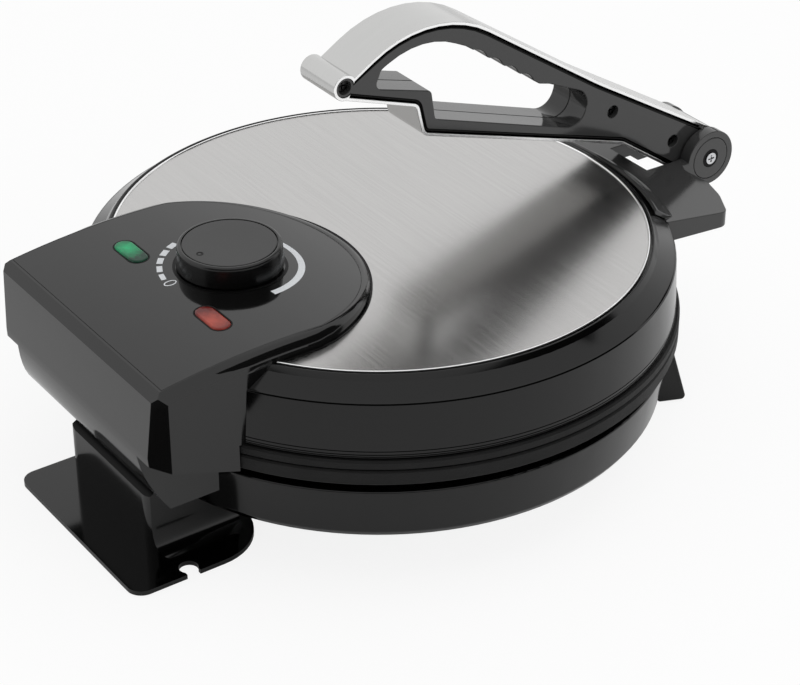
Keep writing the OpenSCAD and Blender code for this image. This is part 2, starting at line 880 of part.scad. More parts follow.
module lower_reflector() {
    color(bright_steel)
    at_axis()
        translate([0, 0, low_back_z])
            mirror([0, 0, 1])
                reflector();
}

module upper_reflector() {
    color(bright_steel)
    at_axis()
        translate([0, 0, up_back_z])
            reflector();
}

module spacers(from, to) {
    around(spacer_place_r, spacer_angles)
        translate([0, 0, from])
            difference() {
                cylinder(r = spacer_r, h = to - from);
                translate([0, 0, -past])
                    cylinder(r = screw_r + screw_gap, h = far);
            }
}

module lower_spacers() {
    color(dull_steel)
    at_axis()
        spacers(floor_top, low_back_z);
}

module upper_spacers() {
    color(dull_steel)
    at_axis()
        spacers(up_back_z, seat_under);
}

module lower_plate_screws() {
    color(bright_steel)
    at_axis()
        around(spacer_place_r, spacer_angles)
            translate([0, 0, base_z])
                mirror([0, 0, 1])
                    screw(low_back_z - base_z + screw_bite);
}

module upper_plate_screws() {
    color(bright_steel)
    at_axis()
        around(spacer_place_r, spacer_angles)
            translate([0, 0, disc_under - head_h - skin])
                screw(disc_under - head_h - skin - up_back_z + screw_bite);
}

module thermal_cutout() {
    color("#b8b09a")
    at_axis()
        translate([cutout_place[0], cutout_place[1], up_back_z + reflector_gap + reflector_t]) {
            cylinder(r = cutout_r, h = 4);
            translate([0, 0, 4])
                cylinder(r = cutout_r - 3, h = 3);
            translate([0, 0, 0.5])
                cube([3 * cutout_r, cutout_r - 2, 1], center = true);
        }
}

// Lid

// Outer outline of the lid's wall and sloping ring, moved out by a gap
function lid_outline(gap) = [
    [lip_r + gap, lid_z - gap], [lip_r + gap, lid_z + 2.9], [lid_edge_r + gap, lid_edge_z],
    [lid_edge_r - 0.4 + gap, lid_edge_z + 0.6], [lid_edge_r - 1.2 + gap, lid_edge_z + 0.9 + gap],
    [seat_r + 2, disc_top - 0.9 + gap], [seat_r + 1.4, disc_top - 0.2 + gap],
    [seat_r + 0.6, disc_top + gap]
];

module lid_shell() {
    color(gloss_black)
    at_axis()
        difference() {
            turned(concat(lid_outline(0), [
                [seat_r, disc_top - 0.3], [seat_r, disc_under], [seat_r - seat_w, disc_under],
                [seat_r - seat_w, seat_under], [seat_r - 0.5, seat_under],
                [lid_edge_r - wall_t - 0.3, lid_edge_z - 1.9], [lip_r - wall_t - 0.6, lid_z + 2],
                [lip_r - wall_t - 0.2, lid_z]
            ]));
            for (up = [0.9, 1.8, 3.3])
                translate([0, 0, lid_z + up])
                    rotate_extrude($fn = big_fn)
                        translate([lip_r - groove_d, 0])
                            square([2, groove_w]);
            around(spacer_place_r, spacer_angles)
                translate([0, 0, seat_under - past]) {
                    cylinder(r = screw_r + screw_gap, h = far);
                    translate([0, 0, disc_under - seat_under + past - head_h - skin])
                        cylinder(r = head_r + screw_gap, h = far);
                }
            bracket_holes(screw_r + screw_gap);
        }
}

module steel_disc() {
    color(bright_steel)
    at_axis()
        difference() {
            turned([
                [0, disc_under], [disc_r, disc_under], [disc_r, disc_top + 0.2],
                [disc_r - 0.5, disc_top + 0.2], [disc_r - 0.9, disc_top], [0, disc_top]
            ]);
            translate([0, window_y, disc_under - past])
                cylinder(r = window_r, h = disc_t + 2 * past);
            for (place = boss_places)
                translate([place[0], place[1], disc_under - past])
                    cylinder(r = screw_r + screw_gap, h = disc_t + 2 * past);
        }
}

// Control housing

// Outline of the back: a slope under the top seam, a leaning wall and a round lower part
function back_outline(d) = concat(
    [for (i = [0:6])
        let (a = -asin((hood_arc_z - hood_low_z - d) / (hood_arc_r - d)) * (1 - i / 6))
        [hood_arc_y + (hood_arc_r - d) * cos(a), hood_arc_z + (hood_arc_r - d) * sin(a)]],
    [
        [hood_y - 2 - d, hood_bevel_z - d / 2],
        [hood_y - 2 - d - back_slope * (hood_top - hood_bevel_z), hood_top]
    ]
);

// Everything of the housing between the wings' sloping underside and the crown, inset by d
module hood_upper(d) {
    low = hood_arc_z - 4.2 + d;
    rise = wing_slope * hood_y;
    intersection() {
        across(concat([[0, hood_top], [0, hood_low_z]], back_outline(d)), hood_w);
        across([[0, low - rise], [2 * hood_y, low + rise], [2 * hood_y, far], [0, far]], hood_w);
        translate([0, 0, -far / 2])
            linear_extrude(height = 2 * far)
                polygon([
                    [-hood_w + d, 0], [hood_w - d, 0], [hood_w - d, plan_chamfer - hood_w - 0.4 * d],
                    [0, plan_chamfer - 1.4 * d], [-hood_w + d, plan_chamfer - hood_w - 0.4 * d]
                ]);
    }
}

// The lower cover round the hinge, inset by d, open to the front
module hood_lower(d) {
    front = d > 0 ? 0 : block_front + 1;
    intersection() {
        across(concat([[front, hood_top], [front, hood_low_z + d]], back_outline(d)), cover_w - d);
        translate([0, 0, -far / 2])
            linear_extrude(height = 2 * far)
                polygon([
                    [-cover_w, 0], [cover_w, 0], [cover_w, cover_chamfer - cover_w - 1.4 * d],
                    [0, cover_chamfer - 1.4 * d], [-cover_w, cover_chamfer - cover_w - 1.4 * d]
                ]);
    }
}

// Crowned top with its side bevels, turned round a line far below
module hood_crown(d) {
    translate([0, hood_crest_y, crown_axis_z])
        rotate([0, 90, 0])
            rotate_extrude($fn = big_fn)
                polygon([
                    [hood_crown_r - crest_z, d - hood_w], [hood_crown_r - hood_bevel - 0.4 * d, d - hood_w],
                    [hood_crown_r - d, hood_bevel + 0.6 * d - hood_w],
                    [hood_crown_r - d, hood_w - hood_bevel - 0.6 * d],
                    [hood_crown_r - hood_bevel - 0.4 * d, hood_w - d], [hood_crown_r - crest_z, hood_w - d]
                ]);
}

// Plan of the housing: a round nose with a sloping edge, and the broad rear
module hood_plan(d) {
    translate([0, nose_y, disc_top])
        rotate([nose_tilt, 0, 0])
            translate([0, 0, -nose_side[1]])
                cylinder(r1 = nose_r + nose_side[0] - d, r2 = nose_r - nose_side[0] - d,
                    h = 2 * nose_side[1], $fn = big_fn);
    translate([-far / 2, nose_y, -far / 2])
        cube([far, far, far]);
}

module hood_form(d) {
    intersection() {
        hood_crown(d);
        hood_plan(d);
        union() {
            hood_upper(d);
            hood_lower(d);
        }
    }
}

// Room for the lid, the plates and the base inside the housing
module hood_room() {
    turned(concat([[0, 0], [base_top_r + 2, 0], [base_top_r + 2, base_top + 1],
        [plate_r + 0.8, base_top + 2], [plate_r + 0.8, lid_z + 0.3]],
        [for (i = [0:7]) lid_outline(skin)[i]], [[0, disc_top]]));
}

module hinge_knuckle(side) {
    middle = side * (knuckle_x + knuckle_w / 2);
    difference() {
        union() {
            translate([middle, hinge_y, hinge_z])
                cross_bar(boss_r, -knuckle_w / 2, knuckle_w / 2);
            intersection() {
                translate([middle, 0, 0])
                    across([
                        [hinge_y, hinge_z - hood_drop], [hood_y, hinge_z - hood_drop],
                        [hood_y, hinge_z + 16], [hinge_y + 4, hinge_z + 16], [hinge_y, hinge_z + boss_r]
                    ], knuckle_w / 2);
                hood_lower(0);
            }
        }
        translate([0, hinge_y, hinge_z])
            cross_bar(pin_r + pin_gap, -far, far);
    }
}

module control_housing() {
    color(gloss_black)
    at_axis() {
        difference() {
            hood_form(0);
            difference() {
                hood_form(wall_t);
                for (place = boss_places)
                    translate([place[0], place[1], disc_top - past])
                        cylinder(r = post_r, h = cut_h);
            }
            hood_room();
            panel_form(panel_gap);
            translate([-column_w - hinge_side_gap, 0, 0])
                cube([2 * (column_w + hinge_side_gap), hinge_y + 5.5, block_top + 8]);
            translate([0, hinge_y, hinge_z]) {
                cross_bar(pin_r + pin_gap, -pin_end - skin, pin_end + skin);
                cross_bar(boss_r + hinge_side_gap, -knuckle_x, knuckle_x);
            }
            for (place = boss_places)
                translate([place[0], place[1], disc_top - past])
                    cylinder(r = screw_r, h = 3 + past);
            lens_places()
                lens_form(skin);
            translate([0, knob_y, disc_top])
                cylinder(r = shaft_r + 1, h = cut_h);
            for (side = [-1, 1])
                translate([side * thermostat_screw_x, knob_y, disc_top])
                    cylinder(r = screw_r + screw_gap, h = cut_h);
        }
        for (side = [-1, 1])
            difference() {
                hinge_knuckle(side);
                hood_room();
            }
    }
}

// The panel's slab, widened by a gap for its recess
module panel_form(gap) {
    edge = hood_bevel + 0.5 - gap;
    intersection() {
        translate([0, hood_crest_y, crown_axis_z])
            rotate([0, 90, 0])
                rotate_extrude($fn = big_fn)
                    polygon([
                        [panel_under_r - gap, edge - hood_w], [hood_crown_r + gap, edge - hood_w],
                        [hood_crown_r + gap, hood_w - edge], [panel_under_r - gap, hood_w - edge]
                    ]);
        union() {
            translate([0, nose_y, panel_low_z - gap])
                cylinder(r = panel_nose_r + gap, h = 2 * cut_h, $fn = big_fn);
            translate([-far / 2, nose_y, panel_low_z - gap])
                cube([far, far, far]);
        }
        translate([-far / 2, hood_y - 6.9 + gap - far, 0])
            cube([far, far, far]);
    }
}

module control_panel() {
    color(panel_grey)
    at_axis()
        difference() {
            panel_form(0);
            lens_places()
                lens_form(skin);
            translate([0, knob_y, disc_top])
                cylinder(r = shaft_r + 1, h = cut_h);
            for (side = [-1, 1])
                translate([side * thermostat_screw_x, knob_y, disc_top])
                    cylinder(r = head_r + screw_gap, h = cut_h);
        }
}

module housing_screws() {
    color(bright_steel)
    at_axis()
        for (place = boss_places)
            translate([place[0], place[1], disc_under])
                mirror([0, 0, 1])
                    screw(disc_t + screw_bite);
}

module lens_places() {
    for (side = [-1, 1])
        translate([side * lens_x, lens_y, 0])
            children();
}

// Long lens with round ends, from under the panel to its proud top
module lens_form(gap) {
    end = (lens_l - lens_w) / 2;
    translate([0, 0, lens_z - wall_t + skin])
        linear_extrude(height = wall_t + lens_out - skin)
            union() {
                square([2 * end, lens_w + 2 * gap], center = true);
                for (side = [-1, 1])
                    translate([side * end, 0])
                        circle(r = lens_w / 2 + gap);
            }
}

module green_lens() {
    color("#24a070")
    at_axis()
        translate([lens_x, lens_y, 0])
            lens_form(0);
}

module red_lens() {
    color("#c8685e")
    at_axis()
        translate([-lens_x, lens_y, 0])
            lens_form(0);
}

module indicator_lamps() {
    lamp_r = (lens_z - wall_t - disc_top) / 2 - skin;
    color("#d8c8b0")
    at_axis()
        lens_places()
            translate([0, 0, disc_top + lamp_r + skin]) {
                cross_bar(lamp_r, -lamp_l / 2, lamp_l / 2);
                translate([lamp_l / 2, 0, 0])
                    sphere(r = lamp_r);
            }
}

module thermostat() {
    top = hood_roof - thermostat_gap;
    color("#c9b48a")
    at_axis()
        translate([0, knob_y, top - thermostat_h])
            difference() {
                union() {
                    cylinder(r = thermostat_r, h = thermostat_h - 4);
                    translate([0, 0, thermostat_h - 2])
                        cube([thermostat_l, thermostat_w, 4], center = true);
                    translate([0, 0, -4])
                        cylinder(r = 7, h = 5);
                }
                translate([0, 0, thermostat_h - 8])
                    cylinder(r = shaft_r + axle_gap, h = cut_h);
                for (side = [-1, 1])
                    translate([side * thermostat_screw_x, 0, thermostat_h - 6])
                        cylinder(r = screw_r, h = cut_h);
            }
}

module thermostat_screws() {
    color(bright_steel)
    at_axis()
        for (side = [-1, 1])
            translate([side * thermostat_screw_x, knob_y, knob_z - knob_gap - panel_t - panel_gap + skin])
                scale(0.7)
                    screw(8);
}

module thermostat_shaft() {
    color(bright_steel)
    at_axis()
        translate([0, knob_y, hood_roof - thermostat_gap - shaft_reach])
            cylinder(r = shaft_r, h = knob_top - 3 - hood_roof + thermostat_gap + shaft_reach);
}

module knob() {
    color(gloss_black)
    at_axis()
        translate([0, knob_y, 0])
            difference() {
                turned([
                    [0, knob_z + 0.2], [knob_hub_r, knob_z + 0.2], [knob_hub_r, knob_top - 3.2],
                    [knob_top_r - wall_t, knob_top - 3.2], [knob_r - wall_t, knob_z],
                    [knob_r - 0.3, knob_z], [knob_r, knob_z + 0.3], [knob_top_r + 0.2, knob_top - 0.9],
                    [knob_top_r - 0.2, knob_top - 0.3], [knob_top_r - 0.9, knob_top],
                    [cap_r + skin, knob_top], [cap_r + skin, knob_top - cap_t], [0, knob_top - cap_t]
                ]);
                translate([0, 0, knob_z - past])
                    cylinder(r = shaft_r, h = knob_top - 3 - knob_z + past);
            }
}

module knob_cap() {
    color(panel_grey)
    at_axis()
        translate([0, knob_y, 0])
            turned([
                [0, knob_top - cap_t], [cap_r, knob_top - cap_t], [cap_r, knob_top - 0.3],
                [cap_r - 0.4, knob_top], [0, knob_top]
            ]);
}

// Front bracket

function bracket_plan() = rounded([
    [-bracket_w, -bracket_in_r, 0], [-bracket_front_w, -bracket_corner_y, 4],
    [-bracket_front_w + 14, -bracket_corner_y - 8, 20], [-37, -bracket_front_y, 10],
    [-23, -bracket_front_y + 1, 4], [-drum_out, -bracket_front_y - 1, 0], [-drum_out, -pivot_y, 0],
    [drum_out, -pivot_y, 0], [drum_out, -bracket_front_y - 1, 0], [23, -bracket_front_y + 1, 4],
    [37, -bracket_front_y, 10], [bracket_front_w - 14, -bracket_corner_y - 8, 20],
    [bracket_front_w, -bracket_corner_y, 4], [bracket_w, -bracket_in_r, 0]
]);

module bracket_holes(radius) {
    for (side = [-1, 1])
        rotate(side * bracket_screw_angle)
            translate([0, -lid_edge_r + 6, lid_edge_z - bracket_screw_drop])
                rotate([90, 0, 0])
                    cylinder(r = radius, h = 14);
}

module front_bracket() {
    front_z = bracket_z - bracket_fall;
    neck_z = pivot_z - 10;
    color(gloss_black)
    at_axis()
        difference() {
            union() {
                intersection() {
                    across([
                        [-pivot_y, neck_z], [-bracket_front_y - 2, neck_z],
                        [-bracket_front_y + 3, front_z - bracket_t],
                        [-bracket_corner_y, front_z - bracket_t],
                        [-bracket_in_r - 10, bracket_z - bracket_root_t],
                        [-bracket_in_r, bracket_z - bracket_root_t], [-bracket_in_r, bracket_z],
                        [-bracket_front_y, front_z], [-pivot_y, front_z]
                    ], far / 2);
                    translate([0, 0, far / 8])
                        linear_extrude(height = far / 4)
                            polygon(bracket_plan());
                }
                intersection() {
                    rotate(-90 - saddle_angle)
                        rotate_extrude(angle = 2 * saddle_angle, $fn = big_fn)
                            polygon([
                                [saddle_r, bracket_z - 4], [lid_edge_r + 3, bracket_z - 4],
                                [lid_edge_r + 3, bracket_z], [lid_edge_r + 0.5, bracket_z + 1],
                                [saddle_r + 1.5, disc_top - 1.4], [saddle_r, disc_top - 1.8]
                            ]);
                    translate([-bracket_w, -far, 0])
                        cube([2 * bracket_w, far, far]);
                }
                for (side = [-1, 1])
                    translate([side * (drum_x + drum_w / 2), -pivot_y, pivot_z])
                        cross_bar(drum_r, -drum_w / 2, drum_w / 2);
            }
            turned(concat([[0, 0], [lip_r, 0]], [for (i = [0:7]) lid_outline(skin)[i]],
                [[0, disc_top + skin]]));
            translate([-slot_w, -far, 0])
                cube([2 * slot_w, far - slot_y, far / 2]);
            translate([0, -pivot_y, pivot_z]) {
                cross_bar(axle_r, -drum_out - past, drum_out + past);
                for (side = [-1, 1])
                    translate([side * (drum_out - pivot_cap_t / 2 + past / 2), 0, 0])
                        cross_bar(pivot_cap_r + skin, -pivot_cap_t / 2 - past / 2,
                            pivot_cap_t / 2 + past / 2);
            }
            bracket_holes(screw_r);
        }
}

module bracket_screws() {
    color(bright_steel)
    at_axis()
        for (side = [-1, 1])
            rotate(side * bracket_screw_angle)
                translate([0, -lid_edge_r + wall_t + 0.8, lid_edge_z - bracket_screw_drop])
                    rotate([-90, 0, 0])
                        screw(bracket_screw_l);
}

module pivot_axle() {
    end = drum_out - pivot_cap_t;
    color(bright_steel)
    at_axis()
        translate([0, -pivot_y, pivot_z])
            difference() {
                cross_bar(axle_r, -end, end);
                cross_bar(screw_r, -end - past, axle_screw_l - end);
                cross_bar(screw_r, end - axle_screw_l, end + past);
            }
}

module pivot_caps() {
    color(gloss_black)
    at_axis()
        translate([0, -pivot_y, pivot_z])
            for (side = [-1, 1])
                translate([side * (drum_out - pivot_cap_t / 2), 0, 0])
                    difference() {
                        cross_bar(pivot_cap_r, -pivot_cap_t / 2, pivot_cap_t / 2);
                        cross_bar(screw_r + screw_gap, -past, past);
                        translate([side * 0.5, 0, 0])
                            cross_bar(head_r + 0.6, -pivot_cap_t / 2, pivot_cap_t / 2);
                    }
}

module axle_screws() {
    color(bright_steel)
    at_axis()
        translate([0, -pivot_y, pivot_z])
            for (side = [-1, 1])
                translate([side * (drum_out - pivot_cap_t + 0.5), 0, 0])
                    rotate([0, side * 90, 0])
                        screw(axle_screw_l);
}

// Press handle, in the plane of depth and height round its pivot

module at_pivot() {
    translate([0, axis_y - pivot_y, pivot_z])
        children();
}

// The strap's outer outline for d = 0, the black halves' outline for the strap's thickness
module handle_shape(d) {
    polygon(inset(rounded(handle_outline), d));
    translate(roll_place)
        circle(r = roll_r - d);
}

module loop_shape() {
    polygon(rounded(loop_outline));
    for (i = [0:scallop_count - 1])
        translate(scallop_start)
            rotate(scallop_slope)
                translate([(i + 0.5) * scallop_pitch, scallop_depth - scallop_r])
                    circle(r = scallop_r);
}

// One black half, from the middle plane out to one side
module handle_half(side) {
    rotate([90, 0, 90])
        translate([0, 0, side < 0 ? -handle_w : 0])
            difference() {
                linear_extrude(height = handle_w)
                    difference() {
                        union() {
                            handle_shape(strap_t);
                            circle(r = root_r);
                        }
                        loop_shape();
                    }
                translate([0, 0, -past])
                    cylinder(r = axle_r + axle_gap, h = handle_w + 2 * past);
                for (place = handle_screw_places)
                    translate([place[0], place[1], 0]) {
                        if (side < 0) {
                            translate([0, 0, -past])
                                cylinder(r = screw_r + skin, h = handle_w + 2 * past);
                            translate([0, 0, -past])
                                cylinder(r = well_r, h = well_depth + past);
                        } else {
                            translate([0, 0, -past])
                                cylinder(r = screw_r, h = handle_screw_bite + 0.5 + past);
                        }
                    }
            }
}

module handle_left_half() {
    color(gloss_black)
    at_pivot()
        handle_half(-1);
}

module handle_right_half() {
    color(gloss_black)
    at_pivot()
        handle_half(1);
}

module handle_strap() {
    color(bright_steel)
    at_pivot()
        rotate([90, 0, 90])
            linear_extrude(height = 2 * (handle_w + strap_side), center = true)
                difference() {
                    handle_shape(0);
                    handle_shape(strap_t);
                    circle(r = strap_end_r);
                }
}

module handle_screws() {
    color(bright_steel)
    at_pivot()
        for (place = handle_screw_places)
            translate([well_depth - handle_w, place[0], place[1]])
                rotate([0, -90, 0])
                    screw(handle_w - well_depth + handle_screw_bite);
}

base_shell();
bottom_cover();
front_left_leg();
front_right_leg();
rear_stand();
rubber_feet();
lower_plate();
lower_heater();
lower_reflector();
lower_spacers();
lower_plate_screws();
cover_screws();
leg_screws();
stand_screws();
cord_gland();
terminal_block();
hinge_pin();
lid_shell();
steel_disc();
upper_plate();
upper_heater();
upper_reflector();
upper_spacers();
upper_plate_screws();
control_housing();
control_panel();
housing_screws();
green_lens();
red_lens();
indicator_lamps();
thermostat();
thermostat_screws();
thermal_cutout();
front_bracket();
bracket_screws();
pivot_axle();
pivot_caps();
axle_screws();
handle_left_half();
handle_right_half();
handle_strap();
handle_screws();
knob();
knob_cap();
thermostat_shaft();
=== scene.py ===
import json
import math
import bmesh
import bpy
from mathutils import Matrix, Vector
from mathutils.bvhtree import BVHTree


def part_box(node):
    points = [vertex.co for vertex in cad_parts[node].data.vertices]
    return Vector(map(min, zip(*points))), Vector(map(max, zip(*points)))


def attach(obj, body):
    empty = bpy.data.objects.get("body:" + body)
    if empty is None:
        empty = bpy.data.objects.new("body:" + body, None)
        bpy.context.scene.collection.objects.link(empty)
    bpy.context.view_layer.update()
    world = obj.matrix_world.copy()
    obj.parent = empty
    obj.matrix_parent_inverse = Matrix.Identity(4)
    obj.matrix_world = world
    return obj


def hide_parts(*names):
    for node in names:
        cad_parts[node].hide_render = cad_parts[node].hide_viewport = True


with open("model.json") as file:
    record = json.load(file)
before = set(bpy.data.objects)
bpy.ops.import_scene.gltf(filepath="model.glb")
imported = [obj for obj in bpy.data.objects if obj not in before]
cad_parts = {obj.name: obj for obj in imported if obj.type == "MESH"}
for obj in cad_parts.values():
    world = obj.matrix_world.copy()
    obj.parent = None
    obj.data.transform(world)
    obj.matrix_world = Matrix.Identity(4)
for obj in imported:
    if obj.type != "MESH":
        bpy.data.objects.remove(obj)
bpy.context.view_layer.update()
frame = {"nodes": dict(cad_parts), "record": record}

nodes = frame["nodes"]
mm = 0.001
print("frame loaded,", len(nodes), "nodes")

# the body's own upright axis, taken from the round lower plate
plateLow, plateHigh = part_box("lower_plate")
axisY = (plateLow.y + plateHigh.y) / 2
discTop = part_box("steel_disc")[1].z


# camera and studio

cameraSetup = {
    "azimuth": 235.03,       # degrees, the camera standing at -y for 0 and at +x for 90
    "elevation": 31.62,
    "distance": 1.0432,
    "lens": 106.4,
    "aimAside": 0.00868,     # aim point right of the axis, seen from the camera
    "aimHeight": 0.04156,
}


def addCamera(setup):
    a, e = math.radians(setup["azimuth"]), math.radians(setup["elevation"])
    back = Vector((math.sin(a) * math.cos(e), -math.cos(a) * math.cos(e), math.sin(e)))
    right = Vector((math.cos(a), math.sin(a), 0))
    aim = Vector((0, axisY, setup["aimHeight"])) + right * setup["aimAside"]
    data = bpy.data.cameras.new("photoCamera")
    data.lens = setup["lens"]
    data.sensor_width = 36
    data.clip_start = 0.05
    data.clip_end = 30
    camera = bpy.data.objects.new("photoCamera", data)
    camera.location = aim + back * setup["distance"]
    camera.rotation_mode = "QUATERNION"
    camera.rotation_quaternion = (-back).to_track_quat("-Z", "Y")
    bpy.context.scene.collection.objects.link(camera)
    bpy.context.scene.camera = camera


addCamera(cameraSetup)
bpy.context.scene.view_settings.view_transform = "Standard"


# shader helpers

def linear(hexColour):
    parts = [int(hexColour[i:i + 2], 16) / 255 for i in (1, 3, 5)]
    return [c / 12.92 if c <= 0.04045 else ((c + 0.055) / 1.055) ** 2.4 for c in parts] + [1]


def addNode(tree, kind, settings=None, links=None):
    node = tree.nodes.new(kind)
    for name, value in (settings or {}).items():
        if hasattr(node, name) and name not in node.inputs:
            setattr(node, name, value)
        else:
            node.inputs[name].default_value = value
    for name, source in (links or {}).items():
        tree.links.new(source, node.inputs[name])
    return node


def startMaterial(name, colour, roughness, metallic=0, ior=1.5):
    material = bpy.data.materials.new(name)
    material.use_nodes = True
    material.diffuse_color = linear(colour)
    tree = material.node_tree
    shader = tree.nodes["Principled BSDF"]
    shader.inputs["Base Color"].default_value = linear(colour)
    shader.inputs["Roughness"].default_value = roughness
    shader.inputs["Metallic"].default_value = metallic
    shader.inputs["IOR"].default_value = ior
    return material, tree, shader


def objectSpace(tree, scale=(1, 1, 1), turn=(0, 0, 0)):
    place = addNode(tree, "ShaderNodeTexCoord")
    spread = addNode(tree, "ShaderNodeMapping", links={"Vector": place.outputs["Object"]})
    spread.inputs["Rotation"].default_value = turn
    spread.inputs["Scale"].default_value = scale
    return spread.outputs["Vector"]


def varied(tree, factor, low, high):
    spread = addNode(tree, "ShaderNodeMapRange", links={"Value": factor})
    spread.inputs["To Min"].default_value = low
    spread.inputs["To Max"].default_value = high
    return spread.outputs["Result"]


def bumped(tree, shader, height, strength, distance):
    bump = addNode(tree, "ShaderNodeBump", {"Strength": strength, "Distance": distance}, {"Height": height})
    tree.links.new(bump.outputs["Normal"], shader.inputs["Normal"])


# materials

def polishedAbs(name, colour, roughness, wave=0.5, specular=0.5):
    # injection moulded in a polished tool: near black, with clear reflections that wave a little
    material, tree, shader = startMaterial(name, colour, roughness)
    shader.inputs["Specular IOR Level"].default_value = specular
    slow = addNode(tree, "ShaderNodeTexNoise", {"Scale": 55.0, "Detail": 1.0}, {"Vector": objectSpace(tree)})
    haze = addNode(tree, "ShaderNodeTexNoise", {"Scale": 18.0, "Detail": 4.0, "Roughness": 0.6},
                   {"Vector": objectSpace(tree)})
    tree.links.new(varied(tree, haze.outputs["Fac"], roughness * 0.75, roughness * 1.3),
                   shader.inputs["Roughness"])
    bumped(tree, shader, slow.outputs["Fac"], wave, 0.00006)
    return material


def castCoated(name, colour, roughness):
    # sand cast aluminium under a dark coating: a fine pebble grain about 0.9 mm across
    material, tree, shader = startMaterial(name, colour, roughness)
    shader.inputs["Specular IOR Level"].default_value = 0.25
    grain = addNode(tree, "ShaderNodeTexNoise", {"Scale": 1100.0, "Detail": 3.0, "Roughness": 0.65},
                    {"Vector": objectSpace(tree)})
    patch = addNode(tree, "ShaderNodeTexNoise", {"Scale": 60.0, "Detail": 3.0}, {"Vector": objectSpace(tree)})
    tree.links.new(varied(tree, patch.outputs["Fac"], roughness - 0.1, roughness + 0.12),
                   shader.inputs["Roughness"])
    bumped(tree, shader, grain.outputs["Fac"], 0.55, 0.0004)
    return material


def brushedSteel(name, colour, roughness, contrast, scale, turn=(0, 0, 0), depth=0.00002):
    # rolled sheet brushed with a belt: long hair lines, drawn 0.4 mm apart so that they show
    material, tree, shader = startMaterial(name, colour, roughness, metallic=1)
    lines = addNode(tree, "ShaderNodeTexNoise", {"Scale": 1.0, "Detail": 5.0, "Roughness": 0.7},
                    {"Vector": objectSpace(tree, scale, turn)})
    broad = addNode(tree, "ShaderNodeTexNoise", {"Scale": 9.0, "Detail": 2.0}, {"Vector": objectSpace(tree)})
    both = addNode(tree, "ShaderNodeMath", {"operation": "ADD"})
    tree.links.new(lines.outputs["Fac"], both.inputs[0])
    tree.links.new(broad.outputs["Fac"], both.inputs[1])
    tone = addNode(tree, "ShaderNodeValToRGB", links={"Fac": lines.outputs["Fac"]})
    tone.color_ramp.elements[0].position = 0.25
    tone.color_ramp.elements[0].color = [c * (1 - contrast) for c in linear(colour)[:3]] + [1]
    tone.color_ramp.elements[1].position = 0.75
    tone.color_ramp.elements[1].color = [min(1, c * (1 + contrast)) for c in linear(colour)[:3]] + [1]
    tree.links.new(tone.outputs["Color"], shader.inputs["Base Color"])
    tree.links.new(varied(tree, both.outputs["Value"], roughness * 0.7, roughness * 1.5),
                   shader.inputs["Roughness"])
    bumped(tree, shader, lines.outputs["Fac"], 0.25, depth)
    return material


def platedSteel(name, colour, roughness):
    # zinc plated and turned hardware: bright, with faint cloudy tarnish
    material, tree, shader = startMaterial(name, colour, roughness, metallic=1)
    cloud = addNode(tree, "ShaderNodeTexNoise", {"Scale": 700.0, "Detail": 3.0},
                    {"Vector": objectSpace(tree)})
    tree.links.new(varied(tree, cloud.outputs["Fac"], roughness * 0.6, roughness * 1.6),
                   shader.inputs["Roughness"])
    return material


def paintedGlowLens(name, colour, glow, lamp):
    # clear polycarbonate tinted in the mass, with a painted glow: base colour and emission brightest round
    # the lamp's place, fading to the tint towards the rim
    material, tree, shader = startMaterial(name, colour, 0.09, ior=1.58)
    shader.inputs["Specular IOR Level"].default_value = 0.22
    offset = addNode(tree, "ShaderNodeVectorMath", {"operation": "SUBTRACT"})
    tree.links.new(objectSpace(tree), offset.inputs[0])
    offset.inputs[1].default_value = lamp
    reach = addNode(tree, "ShaderNodeVectorMath", {"operation": "LENGTH"})
    tree.links.new(offset.outputs["Vector"], reach.inputs[0])
    ribs = addNode(tree, "ShaderNodeTexNoise", {"Scale": 420.0, "Detail": 2.0}, {"Vector": objectSpace(tree)})
    uneven = addNode(tree, "ShaderNodeMath", {"operation": "MULTIPLY_ADD"})
    tree.links.new(ribs.outputs["Fac"], uneven.inputs[0])
    uneven.inputs[1].default_value = 0.006
    tree.links.new(reach.outputs["Value"], uneven.inputs[2])
    near = addNode(tree, "ShaderNodeMapRange", links={"Value": uneven.outputs["Value"]})
    near.inputs["From Min"].default_value = 0.002
    near.inputs["From Max"].default_value = 0.012
    tone = addNode(tree, "ShaderNodeValToRGB", links={"Fac": near.outputs["Result"]})
    tone.color_ramp.elements[0].color = linear(glow)
    tone.color_ramp.elements[1].color = linear(colour)
    tree.links.new(tone.outputs["Color"], shader.inputs["Base Color"])
    # painted glow: the lens emits its own colour a little, though it is no lamp
    tree.links.new(tone.outputs["Color"], shader.inputs["Emission Color"])
    shader.inputs["Emission Strength"].default_value = 0.12
    bumped(tree, shader, ribs.outputs["Fac"], 0.2, 0.0004)
    return material


def mouldedRubber(name, colour):
    # pressed rubber: dull, with a dusty uneven sheen
    material, tree, shader = startMaterial(name, colour, 0.75)
    dust = addNode(tree, "ShaderNodeTexNoise", {"Scale": 400.0, "Detail": 4.0}, {"Vector": objectSpace(tree)})
    tree.links.new(varied(tree, dust.outputs["Fac"], 0.6, 0.9), shader.inputs["Roughness"])
    bumped(tree, shader, dust.outputs["Fac"], 0.3, 0.0001)
    return material


def padPrint(name, colour):
    # white ink pressed on by a soft pad: thin and slightly uneven
    material, tree, shader = startMaterial(name, colour, 0.45)
    ink = addNode(tree, "ShaderNodeTexNoise", {"Scale": 900.0, "Detail": 3.0}, {"Vector": objectSpace(tree)})
    tone = addNode(tree, "ShaderNodeValToRGB", links={"Fac": ink.outputs["Fac"]})
    tone.color_ramp.elements[0].color = [c * 0.8 for c in linear(colour)[:3]] + [1]
    tone.color_ramp.elements[1].color = linear(colour)
    tree.links.new(tone.outputs["Color"], shader.inputs["Base Color"])
    return material


